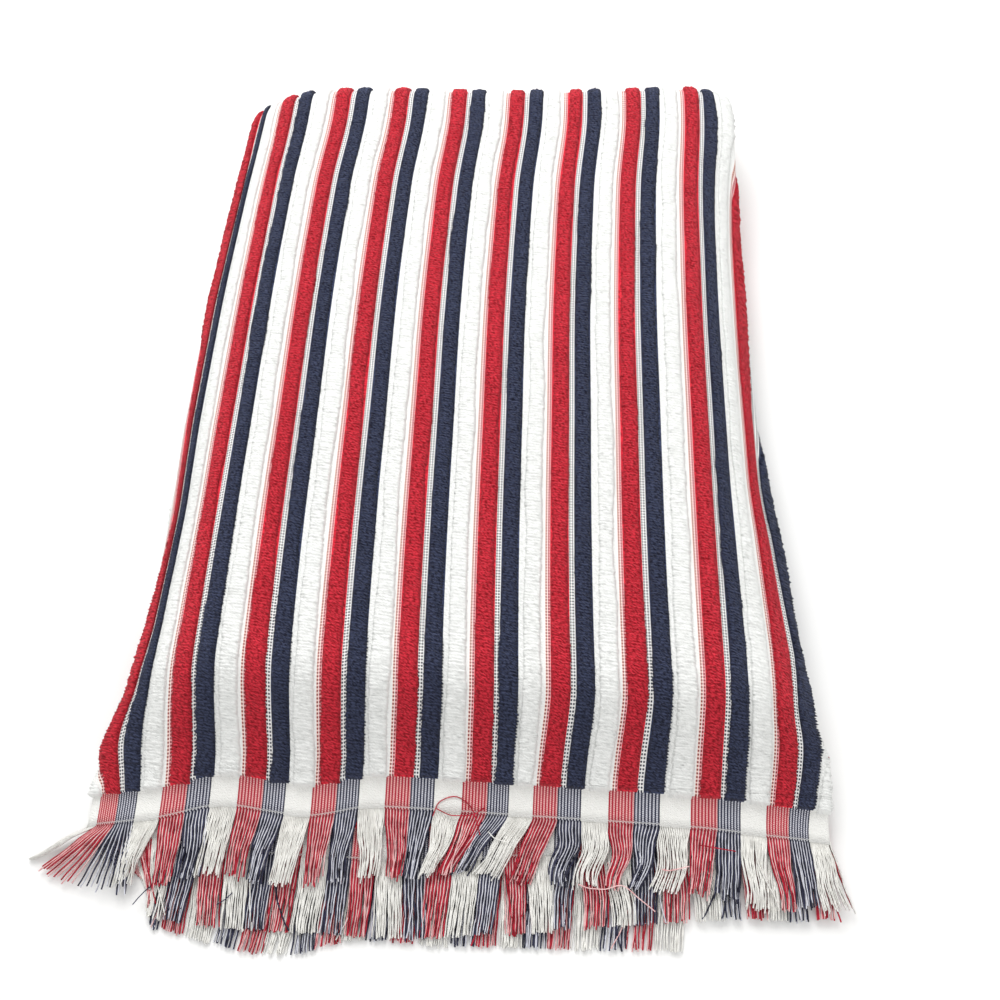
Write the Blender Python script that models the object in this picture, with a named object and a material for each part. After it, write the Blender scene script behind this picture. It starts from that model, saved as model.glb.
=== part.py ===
"""A striped terry beach towel, folded in thirds across its width and then twice along its length.

The cloth is one closed sheet.  Its section is the folded strip: the centre panel, the right third
turned under it and the left third turned under both.  The strip then runs in four levels, back and
forth along Y.  A strip of fringe stands off each cut end.  Sizes here are in millimetres, and the
finished meshes are in metres: X across the stripes, Y along them, +Z up.
"""

import math

import bmesh
import bpy

MM = 0.001

# ---- the cloth -----------------------------------------------------------------------------------
PITCH = 31.2              # one repeat of the stripes: red, navy and white ribs
CLOTH = 2.2               # thickness of the ground cloth with its back pile
HEM_CLOTH = 1.0           # thickness of the flat woven hem
HEM_LENGTH = 12.0
PILE_STEP = 0.8           # length over which the pile ends at the hem
RIB_HEIGHT = 1.2          # how far a rib of pile stands above the ground
LAYER_GAP = 0.75
LEVEL_GAP = 0.8
LAYER = CLOTH + LAYER_GAP

# The ribs of one repeat, in repeats from the middle of the red rib.
RIBS = (
    # repeat, share of the rib's height, pile from here to the next row
    (-0.130, 0.0, "red"),
    (-0.108, 1.0, "red"),
    (0.108, 1.0, "red"),
    (0.130, 0.0, "ground"),
    (0.205, 0.0, "navy"),
    (0.227, 1.0, "navy"),
    (0.438, 1.0, "navy"),
    (0.453, 0.3, "white"),
    (0.468, 1.0, "white"),
    (0.743, 1.0, "white"),
    (0.765, 0.0, "ground"),
)
FIRST_RED, LAST_RED = 1, 10          # red ribs on the centre panel, counted from the left
LEFT_FOLD, RIGHT_FOLD = 0.665, 10.665  # repeats at the side folds, at the near hem
MIDDLE = 5.7                         # the repeat that lies at X = 0
LEFT_FIXED, RIGHT_FIXED = 1.205, 9.453  # repeats that the crooked folds leave in place
LEFT_SHOULDER, RIGHT_SHOULDER = 2.0, 9.0
MOST_CROWDED = 1.75       # how closely the stripes may crowd towards a side fold
RIGHT_THIRD_EDGE = 1.45   # the free edge of the right third lies under this repeat of the centre
LEFT_THIRD_EDGE = 8.745   # and the free edge of the left third under this one
LEFT_TURN = LAYER + 0.5   # how far the side folds stand out past the flat of the layers
RIGHT_TURN = LAYER / 2 + 0.5
ORIGIN = (-3.07, 7.11)    # X and Y of the middle of the finished towel, in the tables' own frame

# ---- the levels ----------------------------------------------------------------------------------
STRIP = 3 * CLOTH + 2 * LAYER_GAP
LEVEL_ONE = CLOTH / 2
LEVEL_TWO = 2 * STRIP + LEVEL_GAP - CLOTH / 2
LEVEL_THREE = 2 * STRIP + 2 * LEVEL_GAP + CLOTH / 2
LEVEL_FOUR = 4 * STRIP + 3 * LEVEL_GAP - CLOTH / 2
FAR_FOLD_Y = 198.0        # middle of the two far folds
NEAR_FOLD_Y = -103.0      # middle of the near fold
UNDER_END_Y = -104.0      # cut end of level three
DROOP_Y = -96.0           # here the top level starts to come down
FAR_RADIUS = (LEVEL_FOUR - LEVEL_ONE) / 2
NEAR_RADIUS = (LEVEL_TWO - LEVEL_ONE) / 2
INNER_RADIUS = (LEVEL_THREE - LEVEL_TWO) / 2

# Outline of the folded stack and the repeats at its side folds.
OUTLINE = (
    # y, left x, right x, left repeat, right repeat
    (-190.0, -151.5, 151.3, 0.700, 10.680),
    (-160.0, -151.5, 151.3, 0.725, 10.680),
    (-150.0, -150.0, 151.0, 0.900, 10.610),
    (-140.0, -149.0, 150.8, 1.020, 10.530),
    (-129.0, -145.5, 149.5, 1.080, 10.450),
    (-115.0, -141.0, 145.6, 1.110, 10.400),
    (-86.0, -138.6, 141.0, 1.010, 10.230),
    (-37.0, -138.2, 136.5, 0.915, 10.290),
    (-16.0, -139.0, 133.5, 0.915, 10.300),
    (16.0, -140.3, 130.5, 0.930, 10.160),
    (75.0, -140.7, 128.1, 0.980, 10.070),
    (141.0, -138.2, 126.0, 1.045, 9.900),
    (189.0, -136.0, 124.6, 1.140, 9.690),
    (217.0, -134.5, 119.8, 1.140, 9.690),
)

# The stripes bow to one side along the stack, less so towards its side folds.
BOW = (
    # y, how far the stripes lie from straight
    (-140.0, 1.3),
    (-116.0, -0.7),
    (-37.0, -3.3),
    (16.0, -4.1),
    (75.0, -4.9),
    (141.0, -3.8),
    (189.0, -0.4),
    (217.0, -0.4),
)
BOW_SHARE = (
    # repeat, share of the bow
    (2.0, 0.50),
    (3.4, 1.00),
    (8.0, 1.00),
    (9.0, 0.55),
)
NEAR_SWAY = (
    # repeat, how far the stripes swing to the side at the near end
    (1.0, 0.8),
    (2.0, -0.3),
    (3.0, -0.5),
    (4.0, -1.4),
    (5.0, -2.5),
    (6.0, -2.0),
    (7.0, -4.5),
    (8.0, -4.5),
    (9.0, -1.0),
    (10.0, 0.0),
)
SWAY_START, SWAY_RAMP = -112.0, 34.0
FAR_REACH = (
    # x, how much further the far end reaches there
    (-140.0, 5.5),
    (-110.0, 8.0),
    (-60.0, 11.5),
    (0.0, 12.5),
    (60.0, 16.5),
    (100.0, 19.5),
    (130.0, 15.0),
)
REACH_START, REACH_RAMP = 40.0, 170.0

# The top level's near end: how high the underside of each of its three layers lies.
DROOP = (
    # y, centre, right third, left third
    (-220.0, 1.30, 0.60, 0.00),
    (-205.0, 2.20, 1.30, 0.00),
    (-196.0, 3.10, 1.60, 0.00),
    (-186.0, 4.10, 2.10, 0.00),
    (-176.0, 4.80, 2.60, 0.00),
    (-166.0, 5.40, 2.80, 0.00),
    (-160.0, 5.90, 3.30, 0.40),
    (-152.0, 7.70, 4.90, 1.90),
    (-144.0, 11.00, 8.00, 5.00),
    (-136.0, 15.50, 12.40, 9.30),
    (-128.0, 20.90, 17.80, 14.70),
    (-120.0, 26.20, 23.10, 20.00),
    (-112.0, 30.60, 27.65, 24.70),
    (-104.0, 32.40, 29.45, 26.55),
    (DROOP_Y, LEVEL_FOUR - CLOTH / 2, LEVEL_FOUR - CLOTH / 2 - LAYER, LEVEL_FOUR - CLOTH / 2 - 2 * LAYER),
)

# The cut end of the top level: where the hem of each layer ends.
CENTRE_HEM = (
    # x, y
    (-154.0, -171.5),
    (-124.0, -167.0),
    (-95.0, -160.5),
    (-64.0, -163.5),
    (-33.0, -158.3),
    (33.0, -159.3),
    (97.0, -160.5),
    (120.0, -162.0),
    (152.0, -164.0),
)
RIGHT_HEM = (
    # x, y
    (-133.0, -173.0),
    (-87.0, -178.0),
    (-26.0, -178.5),
    (38.0, -173.0),
    (111.0, -165.0),
    (152.0, -164.0),
)
LEFT_HEM = (
    # x, y
    (-154.0, -171.5),
    (-120.0, -178.0),
    (-70.0, -187.0),
    (-36.0, -180.0),
    (30.0, -179.5),
    (95.0, -178.0),
)

# The side shoulders: at the edge every height shrinks to this share.
SHOULDER_WIDTH = 48.0
SHOULDER_POWER = 2.2
SHOULDERS = (
    # y, share of the height at the left edge, at the right edge
    (-166.0, 1.00, 1.00),
    (-152.0, 0.94, 0.94),
    (-140.0, 0.80, 0.80),
    (-126.0, 0.64, 0.64),
    (-112.0, 0.55, 0.55),
    (-60.0, 0.50, 0.50),
    (120.0, 0.50, 0.50),
    (190.0, 0.50, 0.95),
    (217.0, 0.50, 1.00),
)
LOWER_INSET = 2.5         # how far the lower levels' sides stand in
INSET_RAMP = 40.0
PLATEAU_WAVE = 0.9        # height of the top level's slow waves
PLEAT = (-68.0, 9.0, 1.8)  # x, width and height of the small pleat at the near end

# ---- the fringe ----------------------------------------------------------------------------------
FRINGE_GAP = 0.5          # between the cloth's end and the fringe's strip
FRINGE_STRIP = 3.0
THIRDS_LOCK_LENGTH = 27.0
CENTRE_LOCK_LENGTH = 21.0
CORNER_LEAN = (0.7, 0.3)  # how far the centre's last locks splay for each mm, left and right
LOCK_SHAPE = ((0.5, 0.9), (1.0, 0.55))  # share of the length, share of width and thickness there
LOCK_UNEVEN = 0.14        # how much the locks' lengths differ
TOP_LOCKS = (60, 46, 42)  # locks on the centre, on the right third and on the left third
UNDER_LOCKS = (10, 8, 7)
LOCK_SHARE = 0.74         # width of a lock within its place
UNDER_LOCK_LENGTH = 22.0
UNDER_FALL = (2.0, 0.6)   # the hidden locks fall from this distance on, by this much for each mm

# ---- how finely the cloth is divided -------------------------------------------------------------
SAME_PLACE = 1e-6         # places closer than this are one place
TURN_STEPS = 4
PLAIN_REPEATS = (0.95, RIGHT_THIRD_EDGE, 2.0, 2.8, 5.7, LEFT_THIRD_EDGE, 9.35, 9.95, 10.35)
HEM_STEP = 1 / 3          # repeats between the divisions of the rows near the hem
TOE_ROWS = (0.30, 0.56, 0.80)
DROOP_ROWS = (-139.0, -130.0, -120.0, -109.0, DROOP_Y)
LEVEL_ROWS = (-60.0, -16.0, 60.0, 140.0)
FAR_RIBBED_ANGLES = (0.0, 24.0, 50.0)
FAR_PLAIN_ANGLES = (76.0, 103.0, 130.0, 156.0)
NEAR_FOLD_ANGLES = (0.0, 30.0, 60.0, 90.0, 120.0, 150.0)
INNER_FOLD_ANGLES = (0.0, 36.0, 72.0, 108.0, 144.0)


def rise(table, row, column):
    """How steeply a column climbs between a row of a table and the next."""
    low, high = table[row], table[row + 1]
    return (high[column] - low[column]) / (high[0] - low[0])


def slope(table, row, column):
    """The slope of a smooth curve at a row of a table: level at each peak and dip."""
    if row == 0 or row == len(table) - 1:
        return rise(table, min(row, len(table) - 2), column)
    before, after = rise(table, row - 1, column), rise(table, row, column)
    if before * after <= 0:
        return 0.0
    return 2 * before * after / (before + after)


def read(table, value, column):
    """Read a column on a smooth curve through its rows, by the first column."""
    if value <= table[0][0]:
        return table[0][column]
    if value >= table[-1][0]:
        return table[-1][column]
    row = 0
    while table[row + 1][0] < value:
        row += 1
    low, high = table[row], table[row + 1]
    width = high[0] - low[0]
    t = (value - low[0]) / width
    bend = (1 - t) * slope(table, row, column) - t * slope(table, row + 1, column)
    straight = blend(low[column], high[column], t)
    lean = rise(table, row, column)
    return straight + t * (1 - t) * width * (bend - (1 - 2 * t) * lean)


def blend(low, high, share):
    return low + (high - low) * share


def clamp(value, low=0.0, high=1.0):
    return max(low, min(high, value))


def smooth(share):
    share = clamp(share)
    return share * share * (3 - 2 * share)


# ---- the strip's section -------------------------------------------------------------------------
# A place along the section is a number: 0 to 1 on the right third from its free edge, 1 to 2 around
# the right fold, 2 to 3 over the centre panel, 3 to 4 around the left fold, 4 to 5 on the left third.

def centre_place(repeat):
    return 2.0 + (RIGHT_FOLD - repeat) / (RIGHT_FOLD - LEFT_FOLD)


def true_repeat(place, y):
    """The repeat at a place on the centre panel, where the side folds are crooked."""
    repeat = RIGHT_FOLD - (place - 2.0) * (RIGHT_FOLD - LEFT_FOLD)
    if repeat < LEFT_FIXED:
        share = (LEFT_FIXED - repeat) / (LEFT_FIXED - LEFT_FOLD)
        return blend(LEFT_FIXED, read(OUTLINE, y, 3), share)
    if repeat > RIGHT_FIXED:
        share = (repeat - RIGHT_FIXED) / (RIGHT_FOLD - RIGHT_FIXED)
        return blend(RIGHT_FIXED, read(OUTLINE, y, 4), share)
    return repeat


def shoulder_x(repeat, start, fold, start_x, fold_x):
    """X on a shoulder: the stripes crowd together towards the side fold."""
    share = (repeat - start) / (fold - start)
    crowd = min(abs(PITCH * (fold - start) / (fold_x - start_x)), MOST_CROWDED)
    return start_x + (fold_x - start_x) * (crowd * share - (crowd - 1) * share * share)


def flat_x(repeat, y):
    bent = read(BOW, y, 1) * read(BOW_SHARE, repeat, 1)
    swung = read(NEAR_SWAY, repeat, 1) * smooth((SWAY_START - y) / SWAY_RAMP)
    return (repeat - MIDDLE) * PITCH + bent + swung


def layer_x(repeat, y, inset):
    """X of a repeat of the centre panel, and of what lies under it in the thirds."""
    left_x = read(OUTLINE, y, 1) + LEFT_TURN + inset
    right_x = read(OUTLINE, y, 2) - RIGHT_TURN - inset
    if repeat < LEFT_SHOULDER:
        start_x = flat_x(LEFT_SHOULDER, y)
        return shoulder_x(repeat, LEFT_SHOULDER, read(OUTLINE, y, 3), start_x, left_x)
    if repeat > RIGHT_SHOULDER:
        start_x = flat_x(RIGHT_SHOULDER, y)
        return shoulder_x(repeat, RIGHT_SHOULDER, read(OUTLINE, y, 4), start_x, right_x)
    return flat_x(repeat, y)


def section(place, y, inset):
    """X and depth at a place: depth 0 is the centre panel, 1 the right third, 2 the left third."""
    if place < 1.0:
        repeat = blend(RIGHT_THIRD_EDGE, RIGHT_FOLD, place)
        return layer_x(true_repeat(centre_place(repeat), y), y, inset), 1.0
    if place < 2.0:
        turn = (2.0 - place) * math.pi
        side = read(OUTLINE, y, 2) - RIGHT_TURN - inset
        return side + LAYER / 2 * math.sin(turn), (1 - math.cos(turn)) / 2
    if place <= 3.0:
        return layer_x(true_repeat(place, y), y, inset), 0.0
    if place < 4.0:
        turn = (place - 3.0) * math.pi
        side = read(OUTLINE, y, 1) + LEFT_TURN + inset
        return side - LAYER * math.sin(turn), 1 - math.cos(turn)
    repeat = blend(LEFT_FOLD, LEFT_THIRD_EDGE, place - 4.0)
    return layer_x(true_repeat(centre_place(repeat), y), y, inset), 2.0


def outward(place):
    """The cloth's outward direction: along X, and away from the strip's centre panel."""
    if place <= 1.0 or place >= 4.0:
        return 0.0, -1.0
    if place < 2.0:
        turn = (2.0 - place) * math.pi
        return math.sin(turn), math.cos(turn)
    if place <= 3.0:
        return 0.0, 1.0
    turn = (place - 3.0) * math.pi
    return -math.sin(turn), math.cos(turn)


def hem_y(place):
    """Where the cut end of the top level lies."""
    x = section(place, CENTRE_HEM[0][1], 0.0)[0]
    if place < 1.0:
        return read(RIGHT_HEM, x, 1)
    if place > 4.0:
        return read(LEFT_HEM, x, 1)
    return read(CENTRE_HEM, x, 1)


# ---- the levels ----------------------------------------------------------------------------------

def squash(x, y):
    """The share of its height that the stack keeps towards its sides."""
    column = 1 if x < 0 else 2
    edge = abs(read(OUTLINE, y, column))
    share = clamp((abs(x) - edge + SHOULDER_WIDTH) / SHOULDER_WIDTH)
    return 1 - (1 - read(SHOULDERS, y, column)) * share ** SHOULDER_POWER


def plateau_wave(x, y):
    """Slow waves of the top level, and the small pleat that runs up from its near end."""
    calm = smooth((y + 150) / 60) * smooth((FAR_FOLD_Y + 10 - y) / 70)
    wave = 0.5 + 0.25 * math.sin(x / 31 + y / 57) + 0.25 * math.sin(y / 41 - x / 66 + 1.3)
    pleat_x, pleat_width, pleat_height = PLEAT
    ridge = math.exp(-((x - pleat_x) / pleat_width) ** 2) * smooth((-112 - y) / 30)
    return PLATEAU_WAVE * wave * calm + pleat_height * ridge


def top_level(place, y, side, rib=0.0):
    """A point of the top level, on the cloth's outer side (1) or its inner side (-1)."""
    x, depth = section(place, y, 0.0)
    pile = clamp((y - hem_y(place) - HEM_LENGTH) / PILE_STEP)
    thick = blend(HEM_CLOTH, CLOTH, pile)
    out_x, out_z = outward(place)
    reach = side * thick / 2 + rib
    column = 1 + min(int(depth), 1)
    low = blend(read(DROOP, y, column), read(DROOP, y, column + 1), depth - column + 1)
    x += out_x * reach
    z = squash(x, y) * (low + thick / 2 + out_z * reach)
    return x, y, z + plateau_wave(x, y) * clamp(1 - depth) ** 2


def path(length):
    """The strip's path after the top level: Y and Z, and the outward normal there."""
    far = math.pi * FAR_RADIUS
    run = FAR_FOLD_Y - NEAR_FOLD_Y
    near = math.pi * NEAR_RADIUS
    inner = math.pi * INNER_RADIUS
    middle = (LEVEL_FOUR + LEVEL_ONE) / 2
    if length <= far:
        turn = length / FAR_RADIUS
        y = FAR_FOLD_Y + FAR_RADIUS * math.sin(turn)
        return y, middle + FAR_RADIUS * math.cos(turn), math.sin(turn), math.cos(turn)
    length -= far
    if length <= run:
        return FAR_FOLD_Y - length, LEVEL_ONE, 0.0, -1.0
    length -= run
    if length <= near:
        turn = length / NEAR_RADIUS
        y = NEAR_FOLD_Y - NEAR_RADIUS * math.sin(turn)
        z = LEVEL_ONE + NEAR_RADIUS * (1 - math.cos(turn))
        return y, z, -math.sin(turn), -math.cos(turn)
    length -= near
    if length <= run:
        return NEAR_FOLD_Y + length, LEVEL_TWO, 0.0, 1.0
    length -= run
    if length <= inner:
        turn = length / INNER_RADIUS
        y = FAR_FOLD_Y + INNER_RADIUS * math.sin(turn)
        z = LEVEL_TWO + INNER_RADIUS * (1 - math.cos(turn))
        return y, z, -math.sin(turn), math.cos(turn)
    return FAR_FOLD_Y - (length - inner), LEVEL_THREE, 0.0, -1.0


PATH_LENGTH = (math.pi * (FAR_RADIUS + NEAR_RADIUS + INNER_RADIUS)
               + 2 * (FAR_FOLD_Y - NEAR_FOLD_Y) + FAR_FOLD_Y - UNDER_END_Y)


def lower_level(place, length, side, rib=0.0):
    """The same for the folded strip below the top level, at a length along its path."""
    path_y, path_z, normal_y, normal_z = path(length)
    inset = LOWER_INSET * smooth((FAR_FOLD_Y - path_y) / INSET_RAMP)
    x, depth = section(place, path_y, inset)
    pile = clamp((PATH_LENGTH - length - HEM_LENGTH) / PILE_STEP)
    out_x, out_strip = outward(place)
    reach = side * blend(HEM_CLOTH, CLOTH, pile) / 2 + rib
    x += out_x * reach
    out = out_strip * reach - LAYER * depth
    y = path_y + out * normal_y
    z = path_z + out * normal_z
    return x, y, squash(x, y) * z


def reach_far(point):
    """The far end lies askew: each part of it reaches on by its own amount."""
    x, y, z = point
    return x, y + read(FAR_REACH, x, 1) * smooth((y - REACH_START) / REACH_RAMP), z


class Row:
    """One row of the cloth across the strip's section."""

    def __init__(self, level, station, ribbed=False, near=False):
        self.level = level          # top_level or lower_level
        self.station = station      # a place's Y, or its length along the path
        self.ribbed = ribbed        # whether the centre panel's ribs run through it
        self.near = near            # whether it follows the crooked hem

    def point(self, place, side, rib=0.0):
        return self.level(place, self.station(place), side, rib)


def turn_places(start):
    return [start + step / TURN_STEPS for step in range(TURN_STEPS + 1)]


def right_third_place(repeat):
    return (repeat - RIGHT_THIRD_EDGE) / (RIGHT_FOLD - RIGHT_THIRD_EDGE)


def left_third_place(repeat):
    return 4.0 + (repeat - LEFT_FOLD) / (LEFT_THIRD_EDGE - LEFT_FOLD)


def hem_repeats():
    """Closer divisions for the rows that follow the hem."""
    count = round((RIGHT_FOLD - LEFT_FOLD) / HEM_STEP)
    steps = [LEFT_FOLD + HEM_STEP * step for step in range(1, count)]
    between = [repeat for repeat in steps if RIGHT_THIRD_EDGE < repeat < LEFT_THIRD_EDGE]
    outside = [repeat for repeat in steps if not RIGHT_THIRD_EDGE < repeat < LEFT_THIRD_EDGE]
    return sorted(outside + between + [RIGHT_THIRD_EDGE, LEFT_THIRD_EDGE])


def plain_places(repeats, centre=None):
    """Places along the section: both thirds are divided where the centre panel is."""
    right = [right_third_place(repeat) for repeat in repeats if repeat >= RIGHT_THIRD_EDGE]
    left = [left_third_place(repeat) for repeat in repeats if repeat <= LEFT_THIRD_EDGE]
    middle = [centre_place(repeat) for repeat in (centre or sorted(repeats, reverse=True))]
    return right + turn_places(1.0) + middle + turn_places(3.0) + left


def ribbed_places(repeats):
    """The same places with the ribs of the centre panel, each with its rib's height and pile."""
    ribs = {}
    pile = "ground"
    for red in range(FIRST_RED, LAST_RED + 1):
        for start, height, name in RIBS:
            ribs[red + start] = (height, pile)
            pile = name
    inside = sorted((repeat for repeat in ribs if repeat < RIGHT_FOLD - 0.1), reverse=True)
    found = {centre_place(repeat): ribs[repeat] for repeat in inside}
    return [(place, *found.get(place, (0.0, "ground"))) for place in plain_places(repeats, inside)]


def rib_share(place, y):
    """Ribs that a crooked side fold squeezes lose their height."""
    if place < centre_place(RIGHT_FIXED):
        width = (read(OUTLINE, y, 4) - RIGHT_FIXED) / (RIGHT_FOLD - RIGHT_FIXED)
    elif place > centre_place(LEFT_FIXED):
        width = (LEFT_FIXED - read(OUTLINE, y, 3)) / (LEFT_FIXED - LEFT_FOLD)
    else:
        width = 1.0
    return clamp((width - 0.3) / 0.4)


# ---- meshes --------------------------------------------------------------------------------------

class Mesh:
    """Points in millimetres and faces, with a material for each face."""

    def __init__(self):
        self.points = []
        self.faces = []
        self.materials = []

    def add(self, point):
        x, y, z = reach_far(point)
        self.points.append(((x - ORIGIN[0]) * MM, (y - ORIGIN[1]) * MM, z * MM))
        return len(self.points) - 1

    def face(self, corners, material=0):
        self.faces.append(corners)
        self.materials.append(material)

    def bridge(self, first, second, material=0, flip=False):
        """Join two lines of (place, index, material) with triangles, in step with their places.

        Where the places match, the diagonal runs the same way in every layer of the stack.
        """
        back = self.points[second[0][1]][1] < self.points[first[0][1]][1]
        a = b = 0
        while a < len(first) - 1 or b < len(second) - 1:
            step_first = b == len(second) - 1
            if not step_first and a < len(first) - 1:
                third = not 1.0 <= first[a][0] < 4.0
                tie = SAME_PLACE if third == back else -SAME_PLACE
                step_first = first[a + 1][0] < second[b + 1][0] + tie
            if step_first:
                corners = (first[a][1], first[a + 1][1], second[b][1])
                colour = first[a][2]
                a += 1
            else:
                corners = (first[a][1], second[b + 1][1], second[b][1])
                colour = second[b][2]
                b += 1
            self.face(corners[::-1] if flip else corners, colour if material is None else material)

    def build(self, name, materials):
        mesh = bpy.data.meshes.new(name)
        mesh.from_pydata(self.points, [], self.faces)
        for material in materials:
            mesh.materials.append(material)
        mesh.polygons.foreach_set("material_index", self.materials)
        work = bmesh.new()
        work.from_mesh(mesh)
        bmesh.ops.recalc_face_normals(work, faces=work.faces)
        work.to_mesh(mesh)
        work.free()
        item = bpy.data.objects.new(name, mesh)
        bpy.context.scene.collection.objects.link(item)
        mesh.shade_smooth()
        mesh.set_sharp_from_angle(angle=math.radians(35))
        return item


def plain_material(name, colour, roughness):
    material = bpy.data.materials.new(name)
    material.use_nodes = True
    shader = material.node_tree.nodes["Principled BSDF"]
    shader.inputs["Base Color"].default_value = (*colour, 1.0)
    shader.inputs["Roughness"].default_value = roughness
    shader.inputs["Metallic"].default_value = 0.0
    return material


# ---- the towel -----------------------------------------------------------------------------------

def near_station(from_end, share):
    """Y as a function of the place, between the hem's end and the first straight row."""
    def station(place):
        start = hem_y(place) + from_end
        return blend(start, DROOP_ROWS[0], share)
    return station


def fixed_station(value):
    return lambda place: value


def top_rows():
    rows = [Row(top_level, near_station(start, 0.0), near=True) for start in (0.0, HEM_LENGTH)]
    pile_end = HEM_LENGTH + PILE_STEP
    for share in (0.0, *TOE_ROWS):
        rows.append(Row(top_level, near_station(pile_end, share), ribbed=True, near=True))
    for y in DROOP_ROWS + LEVEL_ROWS:
        rows.append(Row(top_level, fixed_station(y), ribbed=True))
    for angle in FAR_RIBBED_ANGLES:
        length = math.radians(angle) * FAR_RADIUS
        rows.append(Row(lower_level, fixed_station(length), ribbed=True))
    return rows


def lower_lengths():
    """Where the rows below the top level cross the strip's path."""
    lengths = [math.radians(angle) * FAR_RADIUS for angle in FAR_PLAIN_ANGLES]
    start = math.pi * FAR_RADIUS
    lengths.append(start)
    lengths += [start + FAR_FOLD_Y - y for y in reversed(LEVEL_ROWS)]
    start += FAR_FOLD_Y - NEAR_FOLD_Y
    lengths += [start + math.radians(angle) * NEAR_RADIUS for angle in NEAR_FOLD_ANGLES]
    start += math.pi * NEAR_RADIUS
    lengths.append(start)
    lengths += [start + y - NEAR_FOLD_Y for y in LEVEL_ROWS]
    start += FAR_FOLD_Y - NEAR_FOLD_Y
    lengths += [start + math.radians(angle) * INNER_RADIUS for angle in INNER_FOLD_ANGLES]
    start += math.pi * INNER_RADIUS
    lengths.append(start)
    lengths += [start + FAR_FOLD_Y - y for y in reversed(LEVEL_ROWS)]
    return lengths + [PATH_LENGTH - end for end in (HEM_LENGTH + PILE_STEP, HEM_LENGTH, 0.0)]


def make_towel(materials):
    order = {"ground": 0, "white": 0, "red": 1, "navy": 2}
    mesh = Mesh()
    plain = {near: [(place, 0.0, "ground") for place in plain_places(repeats)]
             for near, repeats in ((False, PLAIN_REPEATS), (True, hem_repeats()))}
    ribbed = {False: ribbed_places(PLAIN_REPEATS), True: ribbed_places(hem_repeats())}
    lines = []
    for row in top_rows() + [Row(lower_level, fixed_station(length)) for length in lower_lengths()]:
        outer = []
        for place, height, name in (ribbed if row.ribbed else plain)[row.near]:
            rib = RIB_HEIGHT * height * rib_share(place, row.point(place, 1)[1])
            outer.append((place, mesh.add(row.point(place, 1, rib)), order[name]))
        inner = [(place, mesh.add(row.point(place, -1)), 0) for place, _, _ in plain[row.near]]
        lines.append((outer, inner))
    for (outer, inner), (next_outer, next_inner) in zip(lines, lines[1:]):
        mesh.bridge(outer, next_outer, None)
        mesh.bridge(inner, next_inner, 0, flip=True)
        for end in (0, -1):
            corners = (outer[end][1], next_outer[end][1], next_inner[end][1], inner[end][1])
            mesh.face(corners if end == 0 else corners[::-1])
    mesh.bridge(lines[0][0], lines[0][1], 0, flip=True)
    mesh.bridge(lines[-1][0], lines[-1][1], 0)
    return mesh.build("towel", materials)


# ---- the fringe ----------------------------------------------------------------------------------

def wobble(number, spread):
    """A steady pseudo-random value for one lock, between -spread and spread."""
    value = math.sin(number * 12.9898 + 4.137) * 43758.5453
    return (value - math.floor(value) - 0.5) * 2 * spread


def lock_edges(counts):
    """Places of the locks' edges along the whole folded section, with a flag on each lock."""
    spans = (
        # start, end, locks
        (0.02, 0.985, counts[1]),
        (2.015, 2.985, counts[0]),
        (4.015, 4.98, counts[2]),
    )
    edges = [(0.0, False)]
    for start, end, count in spans:
        width = (end - start) / count
        for index in range(count):
            left = start + index * width
            edges.append((left + width * (1 - LOCK_SHARE) / 2, True))
            edges.append((left + width * (1 + LOCK_SHARE) / 2, False))
        if end < 1.0:
            edges += [(place, False) for place in turn_places(1.0)]
        elif end < 3.0:
            edges += [(place, False) for place in turn_places(3.0)]
    edges.append((5.0, False))
    return edges


def make_fringe(name, end, material):
    """A narrow strip along a cut end, with locks that stand out of its far rim."""
    mesh = Mesh()
    edges = lock_edges(end.locks)

    def rim(distance):
        pairs = [[end.point(place, distance, side) for side in (1, -1)] for place, _ in edges]
        return [(mesh.add(outer), mesh.add(inner)) for outer, inner in pairs]

    back = rim(FRINGE_GAP)
    front = rim(FRINGE_GAP + FRINGE_STRIP)
    last = len(edges) - 1
    for index in range(last):
        a, b = back[index], back[index + 1]
        c, d = front[index], front[index + 1]
        mesh.face((a[0], b[0], d[0], c[0]))
        mesh.face((a[1], c[1], d[1], b[1]))
        mesh.face((a[0], a[1], b[1], b[0]))
        if not edges[index][1]:
            mesh.face((c[0], d[0], d[1], c[1]))
    mesh.face((back[0][0], front[0][0], front[0][1], back[0][1]))
    mesh.face((back[last][0], back[last][1], front[last][1], front[last][0]))
    for index in range(last):
        if edges[index][1]:
            add_lock(mesh, index, edges, front, end)
    return mesh.build(name, [material])


def add_lock(mesh, index, edges, front, end):
    """One lock of yarn, two lengths long, out of the strip's rim between two of its edges."""
    place, after = edges[index][0], edges[index + 1][0]
    full = end.length(place) * (1 + wobble(index, LOCK_UNEVEN))
    lean = end.lean(place) + wobble(index + 500, 0.05)
    last = (front[index], front[index + 1])
    for share, size in LOCK_SHAPE:
        distance = FRINGE_GAP + FRINGE_STRIP + full * share
        ring = []
        for side_place in (place, after):
            at = blend(blend(place, after, 0.5), side_place, size)
            pair = [end.point(at, distance, side) for side in (1, -1)]
            low = min(point[2] for point in pair)
            thinned = [(x + lean * full * share, y, blend(low, z, size)) for x, y, z in pair]
            ring.append(tuple(mesh.add(point) for point in thinned))
        (a, b), (c, d) = last, ring
        mesh.face((a[0], b[0], d[0], c[0]))
        mesh.face((a[1], c[1], d[1], b[1]))
        mesh.face((a[0], c[0], c[1], a[1]))
        mesh.face((b[0], b[1], d[1], d[0]))
        last = (c, d)
    c, d = last
    mesh.face((c[0], d[0], d[1], c[1]))


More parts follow.
